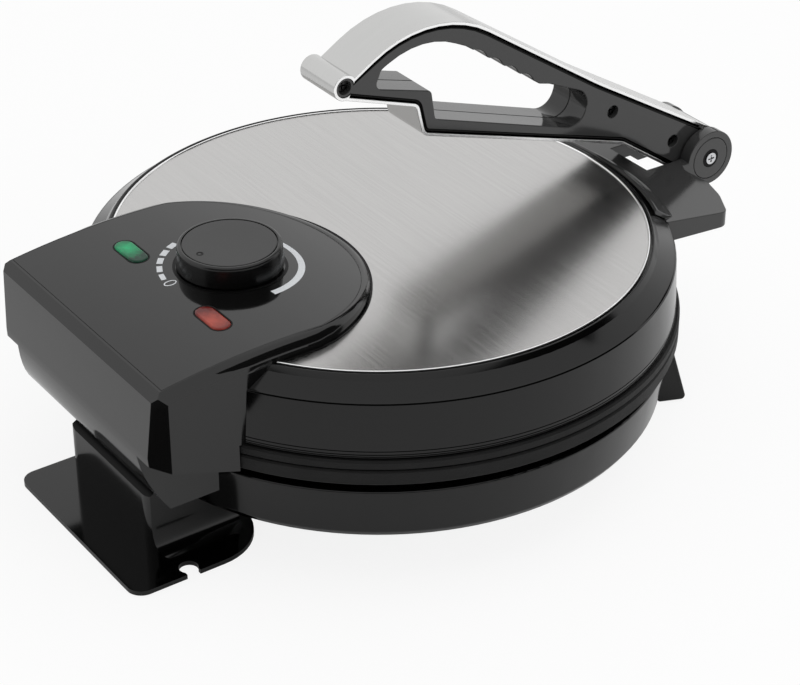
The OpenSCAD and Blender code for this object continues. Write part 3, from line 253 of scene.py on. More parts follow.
lidAbs = polishedAbs("polishedAbsLid", "#040404", 0.12, specular=0.36)
hoodAbs = polishedAbs("polishedAbsHousing", "#0c0c0c", 0.1)
panelAbs = polishedAbs("polishedAbsPanel", "#0a0a0a", 0.07)
handleAbs = polishedAbs("polishedAbsHandle", "#303030", 0.1)
bracketAbs = polishedAbs("polishedAbsBracket", "#363636", 0.12)
# painted shade for the walls of the pivot caps
capWallShadeAbs = polishedAbs("polishedAbsCapWallShade", "#080808", 0.12, specular=0.32)
standAbs = polishedAbs("polishedAbsStand", "#030303", 0.1, specular=0.4)
knobAbs = polishedAbs("satinAbsKnob", "#050505", 0.26)
capAbs = polishedAbs("satinAbsCap", "#0c0c0c", 0.3)
# painted shade: near-black materials with weak reflections, laid where shade falls in hollows, under parts
# and along seams
deepShadeAbs = polishedAbs("polishedAbsPaintedShade", "#010101", 0.2, specular=0.12)
mattShadeAbs = polishedAbs("mattAbsPaintedShade", "#020202", 0.5, specular=0.2)
castPlate = castCoated("sandCastCoatedAluminium", "#0c0c0c", 0.55)
discSteel = brushedSteel("beltBrushedSteelDisc", "#c0bfbe", 0.16, 0.06, (25, 1500, 25),
                         (0, 0, math.radians(58)), depth=0.000005)
strapSteel = brushedSteel("satinSteelStrap", "#c6c6c5", 0.13, 0.03, (2200, 60, 60), depth=0.000004)
# painted highlight: a brighter steel for the strap's edges and the disc's rolled edge
highlightSteel = platedSteel("paintedHighlightSteel", "#f6f6f6", 0.16)
hardwareSteel = platedSteel("zincPlatedSteel", "#cfd0d2", 0.22)
blackSteel = platedSteel("blackenedSteel", "#3a3a3a", 0.3)
sheathSteel = platedSteel("heatTonedSteelSheath", "#5e5854", 0.45)
sheetAluminium = brushedSteel("rolledAluminiumSheet", "#b9babb", 0.35, 0.08, (60, 1500, 60))
footRubber = mouldedRubber("pressedBlackRubber", "#161617")
phenolic = castCoated("pressedPhenolic", "#8a7d68", 0.6)
bulbGlass = paintedGlowLens("clearBulbGlass", "#d8cfc0", "#ffcaa0", (0, 0, 0))
dialInk = padPrint("whitePadPrint", "#dcdfe2")
print("materials made")


# mesh helpers

def bodyOf(nodeName):
    for body, members in frame["record"]["behaviour"]["bodies"].items():
        if nodeName in members:
            return body


def inBody(point):
    # a point in millimetres from the body's axis, as the part's own sizes are given
    return Vector((point.x, point.y - axisY, point.z)) / mm


def placed(x, y, z):
    # a point in metres, from millimetres from the body's axis
    return x * mm, y * mm + axisY, z * mm


def treeOf(nodeName):
    # a node's faces, for rays that look for its surface
    mesh = nodes[nodeName].data
    return BVHTree.FromPolygons([vert.co.copy() for vert in mesh.vertices],
                                [tuple(polygon.vertices) for polygon in mesh.polygons])


def meshFrom(name, build):
    bmesh.ops.recalc_face_normals(build, faces=build.faces)
    mesh = bpy.data.meshes.new(name)
    build.to_mesh(mesh)
    build.free()
    return mesh


def joinRings(build, rings, closed=False):
    # faces from each ring of vertices to the next one, and where closed from the last to the first
    pairs = list(zip(rings, rings[1:])) + ([(rings[-1], rings[0])] if closed else [])
    for here, there in pairs:
        for k in range(len(here)):
            after = (k + 1) % len(here)
            build.faces.new((here[k], here[after], there[after], there[k]))


def roundTo(centre, radius, fromAngle, toAngle, steps=5):
    # points of an arc in an outline, its angles in degrees
    points = []
    for step in range(steps + 1):
        turn = math.radians(fromAngle + (toAngle - fromAngle) * step / steps)
        points.append((centre[0] + radius * math.cos(turn), centre[1] + radius * math.sin(turn)))
    return points


def evenNormals(piece, sharpDegrees=34):
    # the larger faces set the normals, so that flats stay flat beside their rounded edges
    mesh = piece.data
    for polygon in mesh.polygons:
        polygon.use_smooth = True
    mesh.set_sharp_from_angle(angle=math.radians(sharpDegrees))
    modifier = piece.modifiers.new("evenNormals", "WEIGHTED_NORMAL")
    modifier.weight = 80
    modifier.keep_sharp = True
    graph = bpy.context.evaluated_depsgraph_get()
    even = bpy.data.meshes.new_from_object(piece.evaluated_get(graph), depsgraph=graph)
    piece.modifiers.clear()
    piece.data = even
    even.name = piece.name


def easedCopy(nodeName, pieceName, materials, widths, segments=3, sharpAngle=24, form=None, clamp=True,
              sharpDegrees=34):
    # a copy of the moulding with its edges rounded as the tool leaves them; widths holds a radius in
    # millimetres, a test on an edge's middle and, where the rounding has its own, a material's number
    build = bmesh.new()
    build.from_mesh(nodes[nodeName].data)
    bmesh.ops.remove_doubles(build, verts=build.verts, dist=2e-6)
    bmesh.ops.dissolve_limit(build, angle_limit=math.radians(0.4), verts=build.verts, edges=build.edges)
    for face in build.faces:
        face.material_index = 0
    if form:
        form(build)
    for index, (width, _, *painted) in enumerate(widths):
        edges = []
        for edge in build.edges:
            if len(edge.link_faces) != 2 or edge.calc_face_angle() < math.radians(sharpAngle):
                continue
            middle = inBody((edge.verts[0].co + edge.verts[1].co) / 2)
            fits = [number for number, entry in enumerate(widths) if entry[1](middle)]
            if fits and fits[0] == index:
                edges.append(edge)
        if edges:
            bmesh.ops.bevel(build, geom=edges, offset=width * mm, segments=segments, profile=0.5,
                            affect="EDGES", clamp_overlap=clamp, material=painted[0] if painted else -1)
    mesh = meshFrom(pieceName, build)
    for material in materials:
        mesh.materials.append(material)
    piece = bpy.data.objects.new(pieceName, mesh)
    bpy.context.scene.collection.objects.link(piece)
    evenNormals(piece, sharpDegrees)
    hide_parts(nodeName)
    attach(piece, bodyOf(nodeName))
    return piece


def everywhere(middle):
    return True


# places on the handle are back from and above its pivot, in millimetres
loopCorners = [(184, 79.5), (184.5, 88), (181.3, 93.3), (176, 96.3), (170, 98.2), (164, 99.2),
               (157, 99.5), (150, 98.6), (141, 95.6), (132, 91), (100, 69.5), (91, 64.7), (72, 54),
               (66, 46), (72, 32), (150, 56), (155, 60), (157.5, 71.2)]
handleForm = {
    "sideFrom": 11.5,        # the outline's edges lie further out than this on each side
    "roll": (196.6, 86.5),   # the rounded end of the outline
    "rollReach": 8,
    "wells": ((54.4, 36), (17.6, 11)),
    "wellReach": 3.6,
    "dropFrom": (140, 86),   # the loop's upper end lies behind and above this
    "dropLeast": 0.6,
    "dropMore": 4.2,         # added over the next dropLength
    "dropLength": 40,
}
housingSkin = {"from": 44, "holesBelow": 101, "holesHalf": 56, "holesTo": 146}
columnShoulder = {"from": 127, "low": 31, "high": 37, "slope": 0.3}
pivotLow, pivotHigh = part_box("pivot_axle")
pivotPlace = inBody((pivotLow + pivotHigh) / 2)


def fromPivot(point):
    return point.y - pivotPlace.y, point.z - pivotPlace.z


def onLoop(middle):
    # inside the loop's outline, by counting the sides that a line towards +y crosses
    back, up = fromPivot(middle)
    crossed = 0
    for (y0, z0), (y1, z1) in zip(loopCorners, loopCorners[1:] + loopCorners[:1]):
        if (z0 > up) != (z1 > up) and back < y0 + (up - z0) * (y1 - y0) / (z1 - z0):
            crossed += 1
    return crossed % 2 == 1


def onHandleSide(middle):
    return abs(middle.x) > handleForm["sideFrom"]


def onRoll(middle):
    return math.dist(fromPivot(middle), handleForm["roll"]) < handleForm["rollReach"]


def onWell(middle):
    return any(math.dist(fromPivot(middle), well) < handleForm["wellReach"] for well in handleForm["wells"])


def onHousingSkin(middle):
    # the housing's outer edges, away from the holes for the lenses, the shaft and the hinge
    byHoles = middle.z < housingSkin["holesBelow"] and abs(middle.x) < housingSkin["holesHalf"]
    return middle.z > housingSkin["from"] and not (byHoles and middle.y < housingSkin["holesTo"])


def onColumn(middle):
    # over the foot plate
    return middle.z > 6


def onCapFace(middle):
    return abs(middle.x) > 18.5


def formColumn(build):
    # the column's sloping shoulder lies in the housing's shade
    for face in build.faces:
        point = inBody(face.calc_center_median())
        atShoulder = columnShoulder["low"] < point.z < columnShoulder["high"]
        if atShoulder and point.y > columnShoulder["from"] and face.normal.z > columnShoulder["slope"]:
            face.material_index = 1


def shadeCapWalls(build):
    # painted shade: the wall of each small cap takes a darker, less reflective material than its end
    for face in build.faces:
        if abs(face.normal.x) < 0.5:
            face.material_index = 1


def formLoop(build):
    # the frame of the loop is broader at its upper end than its moulding core leaves it
    dropBack, dropUp = handleForm["dropFrom"]
    for vert in build.verts:
        point = inBody(vert.co)
        back, up = fromPivot(point)
        if back > dropBack and up > dropUp and onLoop(point):
            share = (back - dropBack) / handleForm["dropLength"]
            vert.co.z -= (handleForm["dropLeast"] + handleForm["dropMore"] * share ** 2) * mm


def highlightStrapEdges(build):
    # painted highlight: the strap's edges take a brighter steel than its faces
    for face in build.faces:
        if abs(face.normal.x) > 0.8:
            face.material_index = 1


easedNodes = {
    # node: piece, materials, edge radii in millimetres with the edges that they are for, settings
    "base_shell": ("baseRing", [lidAbs], [(0.6, everywhere)], {"clamp": False}),
    "lid_shell": ("lidRing", [lidAbs], [(0.3, everywhere)], {}),
    "control_housing": ("controlHousing", [hoodAbs], [(0.8, onHousingSkin)], {"sharpDegrees": 18}),
    "control_panel": ("controlPanel", [panelAbs], [(0.3, everywhere)], {}),
    "front_bracket": ("frontBracket", [bracketAbs], [(0.4, everywhere)], {"clamp": False}),
    "rear_stand": ("rearStand", [standAbs, deepShadeAbs], [(1.2, onColumn), (0.5, everywhere)],
                   {"form": formColumn}),
    "front_left_leg": ("frontLeftLeg", [standAbs], [(0.9, everywhere)], {"clamp": False}),
    "front_right_leg": ("frontRightLeg", [standAbs], [(0.9, everywhere)], {"clamp": False}),
    "lower_plate": ("lowerPlate", [castPlate], [(0.4, everywhere)], {}),
    "upper_plate": ("upperPlate", [castPlate], [(0.4, everywhere)], {}),
    "steel_disc": ("steelDisc", [discSteel], [(0.1, everywhere)], {}),
    # the caps' walls take the painted shade material
    "pivot_caps": ("pivotCaps", [bracketAbs, capWallShadeAbs], [(0.5, onCapFace)],
                   {"form": shadeCapWalls, "clamp": False}),
}
for nodeName, (pieceName, materials, widths, settings) in easedNodes.items():
    easedCopy(nodeName, pieceName, materials, widths, **settings)
print("mouldings eased")

# painted shade: each half's broad rounded shoulder along its outline, inside the strap, takes the near-black
# shade material
handleHalves = {"handle_left_half": "handleLeftHalf", "handle_right_half": "handleRightHalf"}
for nodeName, pieceName in handleHalves.items():
    easedCopy(nodeName, pieceName, [handleAbs, deepShadeAbs],
              [(0.5, onLoop), (0.3, onRoll), (0.25, onWell), (1.8, onHandleSide, 1)],
              form=formLoop, clamp=False)
easedCopy("handle_strap", "handleStrap", [strapSteel, highlightSteel], [(0.35, everywhere)],
          form=highlightStrapEdges)
print("handle formed")

plainNodes = {
    "bottom_cover": sheetAluminium, "lower_reflector": sheetAluminium, "upper_reflector": sheetAluminium,
    "lower_heater": sheathSteel, "upper_heater": sheathSteel, "rubber_feet": footRubber,
    "cord_gland": footRubber, "terminal_block": phenolic, "thermostat": phenolic,
    "thermal_cutout": phenolic, "indicator_lamps": bulbGlass, "handle_screws": blackSteel,
}
for nodeName, node in nodes.items():
    if nodeName not in easedNodes:
        node.data.materials.clear()
        node.data.materials.append(plainNodes.get(nodeName, hardwareSteel))


# pieces of the builder's own form

def linkPiece(name, mesh, material, nodeName, stands=()):
    # rides with nodeName's body and stands for the nodes in stands
    mesh.materials.clear()
    mesh.materials.append(material)
    piece = bpy.data.objects.new(name, mesh)
    bpy.context.scene.collection.objects.link(piece)
    if stands:
        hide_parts(*stands)
    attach(piece, bodyOf(nodeName))
    return piece


def lathe(name, profile, material, nodeName, centre=(0, 0), segments=256, stands=(), closed=False):
    # profile: radius and height in millimetres, from the foot outward and up; closed for a ring
    build = bmesh.new()
    rows = []
    for radius, height in profile:
        if radius == 0:
            rows.append([build.verts.new(placed(centre[0], centre[1], height))])
            continue
        turns = [2 * math.pi * step / segments for step in range(segments)]
        rows.append([build.verts.new(placed(centre[0] + radius * math.cos(turn),
                                            centre[1] + radius * math.sin(turn), height))
                     for turn in turns])
    pairs = list(zip(rows, rows[1:])) + ([(rows[-1], rows[0])] if closed else [])
    for low, high in pairs:
        for step in range(segments):
            after = (step + 1) % segments
            if len(low) == 1:
                build.faces.new((low[0], high[after], high[step]))
            elif len(high) == 1:
                build.faces.new((low[step], low[after], high[0]))
            else:
                build.faces.new((low[step], low[after], high[after], high[step]))
    evenNormals(linkPiece(name, meshFrom(name, build), material, nodeName, stands), 40)


top = discTop / mm
discLow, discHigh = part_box("steel_disc")
discR = (discHigh.x - discLow.x) / 2 / mm

# the disc's rolled edge in a brighter steel, a painted highlight, and the lid's black bead that stands round
# it
lathe("discRolledEdge", roundTo((discR - 0.45, top), 0.45, 0, 180, 6) + [(discR - 0.9, top - 0.2),
      (discR, top - 0.2)], highlightSteel, "steel_disc", closed=True)
lathe("lidInnerBead", [(discR + 0.5, top - 1)] + roundTo((discR + 1.5, top - 0.5), 0.7, 180, 50, 6)
      + [(discR + 3.9, top - 2.3)], lidAbs, "lid_shell", closed=True)

axleShadeRing = {"inner": 2.85, "outer": 4.5, "proud": 0.06, "under": 0.1, "steps": 48}


def addAxleShadeRing(name, side):
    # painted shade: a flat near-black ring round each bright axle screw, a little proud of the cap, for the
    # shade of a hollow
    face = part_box("pivot_caps")[1].x / mm
    under, proud = face - axleShadeRing["under"], face + axleShadeRing["proud"]
    turns = [2 * math.pi * step / axleShadeRing["steps"] for step in range(axleShadeRing["steps"])]
    build = bmesh.new()
    rings = []
    for x, edge in ((under, "inner"), (proud, "inner"), (proud, "outer"), (under, "outer")):
        radius = axleShadeRing[edge]
        rings.append([build.verts.new(placed(side * x, pivotPlace.y + radius * math.cos(turn),
                                             pivotPlace.z + radius * math.sin(turn))) for turn in turns])
    joinRings(build, rings, closed=True)
    linkPiece(name, meshFrom(name, build), deepShadeAbs, "pivot_caps")


addAxleShadeRing("leftAxleShadeRing", -1)
addAxleShadeRing("rightAxleShadeRing", 1)

# control panel: printed dial, lenses in their seats, and the knob

panelTree = treeOf("control_panel")
inkSunk = 0.04               # how far printed bands and bands of painted shade reach into the panel


def panelHeight(x, y):
    # height of the crowned panel at a place from the body's axis, in millimetres
    hit = panelTree.ray_cast(Vector((x * mm, y * mm + axisY, 0.3)), Vector((0, 0, -1)))[0]
    return hit.z / mm if hit else None


def onPanel(x, y, lift):
    return Vector(placed(x, y, panelHeight(x, y) + lift))


def panelBand(name, inner, outer, lift, material, closed=True):
    # a thin raised band between two outlines of as many points, laid on the crowned panel
    build = bmesh.new()
    rows = []
    for (x0, y0), (x1, y1) in zip(inner, outer):
        z0, z1 = panelHeight(x0, y0), panelHeight(x1, y1)
        corners = [(x0, y0, z0 - inkSunk), (x0, y0, z0 + lift), (x1, y1, z1 + lift), (x1, y1, z1 - inkSunk)]
        rows.append([build.verts.new(placed(*corner)) for corner in corners])
    joinRings(build, rows, closed)
    if not closed:
        build.faces.new(rows[0])
        build.faces.new(rows[-1])
    return linkPiece(name, meshFrom(name, build), material, "control_panel")


noseRoll = {
    "centre": 84,            # of the nose's arc, back from the body's axis
    "turn": 77,              # half the arc's span, in degrees
    "turnStep": 2.5,         # at most one point of the outline for each step
    "closest": 1.6,          # least distance between two points
    "side": (74, 141),       # the straight sides run from here to here
    "sideStep": 6,
    "fadeFrom": 105,         # the roll dies out from here to the sides' rear end
    "fadeIn": 0.5,
    "fadeDown": 0.3,
    "start": 0.5,            # the roll begins this far outside the panel's outline
    "foot": 98.95,           # height of its foot at the nose
    "footDrop": 1.6,         # the foot comes down by this over dropLength
    "dropFrom": 96,
    "dropLength": 47,
    "inset": 0.4,            # the panel's height is taken this far inside its outline
    "probe": 9,              # the housing is looked for from this far outside
    "probeReach": 12,
    "probeLift": 0.2,
    "lap": 0.1,              # overlap with the housing and the panel
    "tail": (1.4, 1.2),      # how far the hidden side lies inside the foot and under the crown
    "steps": 8,
    # the near-black lip of painted shade under the roll's foot
    "shadeLip": 0.8,
    "shadeLipTo": 96,
    "shadeLipLift": 0.15,
    "shadeLipIn": 1.6,
    "shadeLipRound": 0.3,
    "shadeLipGap": 0.05,
}
panelLow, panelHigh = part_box("control_panel")
panelHalf = (panelHigh.x - panelLow.x) / 2 / mm
housingTree = treeOf("control_housing")


def noseStations():
    # points on the panel's outline round its nose, in order, each with its outward direction
    turns = {}
    for vert in nodes["control_panel"].data.vertices:
        point = inBody(vert.co)
        turn = math.degrees(math.atan2(point.x, noseRoll["centre"] - point.y))
        reach = math.hypot(point.x, point.y - noseRoll["centre"])
        key = round(turn / noseRoll["turnStep"])
        if abs(turn) <= noseRoll["turn"] and reach > turns.get(key, (0, 0, 0))[0]:
            turns[key] = (reach, point.x, point.y)
    outline = []
    for key in sorted(turns):
        point = turns[key][1:]
        if not outline or math.dist(point, outline[-1]) > noseRoll["closest"]:
            outline.append(point)
    stations = []
    for x, y in outline:
        reach = math.hypot(x, y - noseRoll["centre"])
        stations.append((x, y, x / reach, (y - noseRoll["centre"]) / reach))
    low, high = noseRoll["side"]
    count = int((high - low) / noseRoll["sideStep"]) + 1
    side = [low + (high - low) * step / count for step in range(count + 1)]
    return [(-panelHalf, y, -1, 0) for y in reversed(side)] + stations + [(panelHalf, y, 1, 0) for y in side]


def rollProfile(foot, footHeight, crown, fade):
    # reach and height from the crown down to the foot: a quarter round that flattens as it fades
    profile = []
    for step in range(noseRoll["steps"] + 1):
        part = step / noseRoll["steps"]
        angle = math.radians(90 * part)
        reach = part * (1 - fade) + math.sin(angle) * fade
        height = (1 - part) * (1 - fade) + math.cos(angle) * fade
        out = noseRoll["start"] + (foot - noseRoll["start"]) * reach - noseRoll["fadeIn"] * (1 - fade)
        up = footHeight + (crown - footHeight) * height - noseRoll["fadeDown"] * (1 - fade)
        profile.append((out, up))
    footTail, crownTail = noseRoll["tail"]
    return profile + [(foot - footTail, footHeight + 0.1),
                      (noseRoll["start"] + noseRoll["inset"], crown - crownTail)]


# painted shade: a near-black lip under the roll's foot, for the shadow line between the roll and the disc
def shadeLipProfile(foot, footHeight):
    inside, proud = foot - noseRoll["shadeLipIn"], foot + noseRoll["shadeLip"]
    under, over = discTop / mm + noseRoll["shadeLipLift"], footHeight - noseRoll["shadeLipGap"]
    rounding = noseRoll["shadeLipRound"]
    return [(inside, under), (proud - rounding, under), (proud, under + rounding), (proud - 0.1, over),
            (inside, over)]


def addNoseRoll():
    # the housing's rim is rolled over round the panel's nose and dies out along its sides
    rollRows, shadeLipRows = [], []
    rear = noseRoll["side"][1]
    probe, inset = noseRoll["probe"], noseRoll["inset"]
    for x, y, outX, outY in noseStations():
        fade = min(1, (rear - y) / (rear - noseRoll["fadeFrom"]))
        drop = min(1, max(0, (y - noseRoll["dropFrom"]) / noseRoll["dropLength"]))
        footHeight = noseRoll["foot"] - noseRoll["footDrop"] * drop
        crown = panelHeight(x - outX * inset, y - outY * inset)
        start = Vector(placed(x + outX * probe, y + outY * probe, footHeight + noseRoll["probeLift"]))
        hit = housingTree.ray_cast(start, Vector((-outX, -outY, 0)), noseRoll["probeReach"] * mm)[0]
        if crown is None or hit is None:
            continue
        foot = probe - (start - hit).length / mm + noseRoll["lap"]
        place = (x, y, outX, outY)
        rollRows.append([place, rollProfile(foot, footHeight, crown - noseRoll["lap"], fade)])
        if y < noseRoll["shadeLipTo"]:
            shadeLipRows.append([place, shadeLipProfile(foot, footHeight)])
    evenNormals(sweepRows("noseRoll", rollRows, hoodAbs), 50)
    evenNormals(sweepRows("noseShadeLip", shadeLipRows, deepShadeAbs), 50)


def sweepRows(name, rows, material):
    # a band through the outline given at each station, closed at both ends
    build = bmesh.new()
    rings = [[build.verts.new(placed(x + outX * reach, y + outY * reach, height))
              for reach, height in profile] for (x, y, outX, outY), profile in rows]
    joinRings(build, rings)
    build.faces.new(rings[0])
    build.faces.new(rings[-1])
    return linkPiece(name, meshFrom(name, build), material, "control_housing")


def ellipse(centre, radii, fromAngle=0.0, toAngle=360.0, steps=72):
    points = []
    for step in range(steps if toAngle - fromAngle == 360 else steps + 1):
        turn = math.radians(fromAngle + (toAngle - fromAngle) * step / steps)
        points.append((centre[0] + radii[0] * math.cos(turn), centre[1] + radii[1] * math.sin(turn)))
    return points


def stadium(centre, length, width, steps=12):
    # long hole with round ends, across the machine
    straight = (length - width) / 2
    points = []
    for side in (1, -1):
        for step in range(steps + 1):
            turn = math.radians(-90 + 180 * step / steps)
            points.append((centre[0] + side * (straight + width / 2 * math.cos(turn)),
                           centre[1] + side * width / 2 * math.sin(turn)))
    return points


knobLow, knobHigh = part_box("knob")
knobPlace = inBody((knobLow + knobHigh) / 2)
dial = {
    "inner": 27.9,                   # inner radius of the printed scale
    "zero": (1.0, 102.6),            # place of the nought
    "zeroSize": (1.9, 2.9),          # half its width and height
    "line": 0.55,                    # breadth of the nought's line
    "dashes": 5,
    "firstDash": 76.0,               # angle of the first dash from the +x side
    "dashStep": -13.0,
    "dashLength": 4.7,
    "dashBreadth": 2.2,              # breadth of the first dash
    "dashGrowth": 0.2,               # added with each dash
    "arcEnd": -176.0,                # the solid scale runs on to here
    "arcBreadth": (2.0, 3.2),
    "ink": 0.05,                     # thickness of the ink
}


def dashGroup(material):
    # dashes along a circle, each broader than the one before
    group = bpy.data.node_groups.new("dialDashes", "GeometryNodeTree")
    group.interface.new_socket("Geometry", in_out="OUTPUT", socket_type="NodeSocketGeometry")
    for name, kind in (("Count", "NodeSocketInt"), ("Inner Radius", "NodeSocketFloat"),
                       ("First Angle", "NodeSocketFloat"), ("Angle Step", "NodeSocketFloat"),
                       ("Length", "NodeSocketFloat"), ("Breadth", "NodeSocketFloat"),
                       ("Growth", "NodeSocketFloat")):
        group.interface.new_socket(name, in_out="INPUT", socket_type=kind)
    given = addNode(group, "NodeGroupInput").outputs
    index = addNode(group, "GeometryNodeInputIndex").outputs["Index"]

    def multiplyAdd(a, b, c):
        node = addNode(group, "ShaderNodeMath", {"operation": "MULTIPLY_ADD"})
        for socket, source in zip(node.inputs, (a, b, c)):
            if isinstance(source, float):
                socket.default_value = source
            else:
                group.links.new(source, socket)
        return node.outputs["Value"]

    angle = multiplyAdd(index, given["Angle Step"], given["First Angle"])
    breadth = multiplyAdd(index, given["Growth"], given["Breadth"])
    reach = multiplyAdd(breadth, 0.5, given["Inner Radius"])
    spread = addNode(group, "ShaderNodeCombineXYZ", links={"X": reach})
    turn = addNode(group, "ShaderNodeVectorRotate", {"rotation_type": "Z_AXIS"},
                   {"Vector": spread.outputs["Vector"], "Angle": angle})
    points = addNode(group, "GeometryNodePoints",
                     links={"Count": given["Count"], "Position": turn.outputs["Vector"]})
    grid = addNode(group, "GeometryNodeMeshGrid",
                   {"Size X": 1.0, "Size Y": 1.0, "Vertices X": 3, "Vertices Y": 3})
    facing = addNode(group, "ShaderNodeCombineXYZ", links={"Z": angle})
    size = addNode(group, "ShaderNodeCombineXYZ", {"Z": 1.0}, {"X": breadth, "Y": given["Length"]})
    copies = addNode(group, "GeometryNodeInstanceOnPoints", links={
        "Points": points.outputs["Points"], "Instance": grid.outputs["Mesh"],
        "Rotation": facing.outputs["Vector"], "Scale": size.outputs["Vector"]})
    real = addNode(group, "GeometryNodeRealizeInstances", links={"Geometry": copies.outputs["Instances"]})
    painted = addNode(group, "GeometryNodeSetMaterial", {"Material": material},
                      {"Geometry": real.outputs["Geometry"]})
    addNode(group, "NodeGroupOutput", links={"Geometry": painted.outputs["Geometry"]})
    return group


def addDashes():
    group = dashGroup(dialInk)
    holder = bpy.data.objects.new("dashHolder", bpy.data.meshes.new("dashHolder"))
    bpy.context.scene.collection.objects.link(holder)
    modifier = holder.modifiers.new("dashes", "NODES")
    modifier.node_group = group
    values = {"Count": dial["dashes"], "Inner Radius": dial["inner"],
              "First Angle": math.radians(dial["firstDash"]), "Angle Step": math.radians(dial["dashStep"]),
              "Length": dial["dashLength"], "Breadth": dial["dashBreadth"], "Growth": dial["dashGrowth"]}
    for socket in group.interface.items_tree:
        if socket.in_out == "INPUT":
            modifier[socket.identifier] = values[socket.name]
    graph = bpy.context.evaluated_depsgraph_get()
    mesh = bpy.data.meshes.new_from_object(holder.evaluated_get(graph), depsgraph=graph)
    bpy.data.objects.remove(holder)
    build = bmesh.new()
    build.from_mesh(mesh)
    for vert in build.verts:
        vert.co = onPanel(vert.co.x, vert.co.y + knobPlace.y, -inkSunk)
    lifted = bmesh.ops.extrude_face_region(build, geom=build.faces[:])
    for item in lifted["geom"]:
        if isinstance(item, bmesh.types.BMVert):
            item.co.z += (dial["ink"] + inkSunk) * mm
    bmesh.ops.recalc_face_normals(build, faces=build.faces)
    build.to_mesh(mesh)
    build.free()
    mesh.name = "dialDashes"
    linkPiece("dialDashes", mesh, dialInk, "control_panel")


addDashes()
zeroX, zeroY = dial["zeroSize"]
panelBand("dialNought", ellipse(dial["zero"], (zeroX - dial["line"], zeroY - dial["line"]), steps=40),
          ellipse(dial["zero"], (zeroX, zeroY), steps=40), dial["ink"], dialInk)
arcStart = dial["firstDash"] + dial["dashStep"] * dial["dashes"]
arcInner, arcOuter = [], []
arcSteps = 96
for step in range(arcSteps + 1):
    share = step / arcSteps
    turn = math.radians(arcStart + (dial["arcEnd"] - arcStart) * share)
    breadth = dial["arcBreadth"][0] + (dial["arcBreadth"][1] - dial["arcBreadth"][0]) * share
    for points, radius in ((arcInner, dial["inner"]), (arcOuter, dial["inner"] + breadth)):
        points.append((radius * math.cos(turn), knobPlace.y + radius * math.sin(turn)))
panelBand("dialArc", arcInner, arcOuter, dial["ink"], dialInk, closed=False)

# painted shade: a thin near-black band round the knob's foot, where its shade falls on the panel
knobShadeRing = {"inner": 22.6, "outer": 23.9, "lift": 0.06}
panelBand("knobShadeRing", ellipse((0, knobPlace.y), (knobShadeRing["inner"],) * 2),
          ellipse((0, knobPlace.y), (knobShadeRing["outer"],) * 2), knobShadeRing["lift"], mattShadeAbs)

lens = {
    "length": 20,
    "width": 8.5,
    "round": 0.8,            # radius of the rim
    "rimTurns": (25, 50, 75, 90),
    "flat": 2.4,             # the top is flat this far inside the side
    "shadeRing": 0.7,             # breadth of the band of painted shade round the lens
    "shadeRingGap": 0.15,
    "shadeRingLift": 0.07,
}


def addLens(nodeName, name, material):
    # a long lens with a rounded rim, ringed by a band of painted shade where it sits in the panel
    low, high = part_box(nodeName)
    middle = inBody((low + high) / 2)
    foot, crown = low.z / mm, high.z / mm
    rounding = lens["round"]
    rows = [(0, foot), (0, crown - rounding)]
    for degrees in lens["rimTurns"]:
        turn = math.radians(degrees)
        rows.append((-rounding * (1 - math.cos(turn)), crown - rounding * (1 - math.sin(turn))))
    rows.append((-lens["flat"], crown))
    build = bmesh.new()
    loops = []
    for offset, height in rows:
        outline = stadium((middle.x, middle.y), lens["length"] + 2 * offset, lens["width"] + 2 * offset)
        loops.append([build.verts.new(placed(x, y, height)) for x, y in outline])
    joinRings(build, loops)
    build.faces.new(loops[-1])
    build.faces.new(loops[0][::-1])
    evenNormals(linkPiece(name, meshFrom(name, build), material, nodeName, [nodeName]), 50)
    inner, outer = (stadium((middle.x, middle.y), lens["length"] + 2 * edge, lens["width"] + 2 * edge)
                    for edge in (lens["shadeRingGap"], lens["shadeRing"]))
    panelBand(name + "ShadeRing", inner, outer, lens["shadeRingLift"], mattShadeAbs)


addNoseRoll()
greenLow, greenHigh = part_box("green_lens")
redLow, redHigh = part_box("red_lens")
# places of the painted glow on each lens, a little off its middle
greenGlowSpot = Vector(((greenLow.x + greenHigh.x) / 2 + 0.003, (greenLow.y + greenHigh.y) / 2, greenHigh.z))
redGlowSpot = Vector(((redLow.x + redHigh.x) / 2 - 0.002, (redLow.y + redHigh.y) / 2 + 0.002, redHigh.z))
addLens("green_lens", "greenLens", paintedGlowLens("greenPolycarbonate", "#023020", "#0aa468", greenGlowSpot))
addLens("red_lens", "redLens", paintedGlowLens("redPolycarbonate", "#561612", "#a44232", redGlowSpot))

knob = {
    "foot": 22.4,            # radii
    "top": 21.8,
    "bore": 7,
    "ledge": 20.8,
    "cap": 19.6,
    "groove": 0.45,          # breadth of the dark line round the cap
    "round": 1.3,
    "capRound": 0.35,
    "capDish": (12, 0.12, 0.16),     # the cap is hollow by so much at this radius and at its middle
    "recess": 1.0,           # depth of the top's hollow, which holds the cap
    "pointer": (-1, 89.3),   # place of the small pit that points at the scale
}


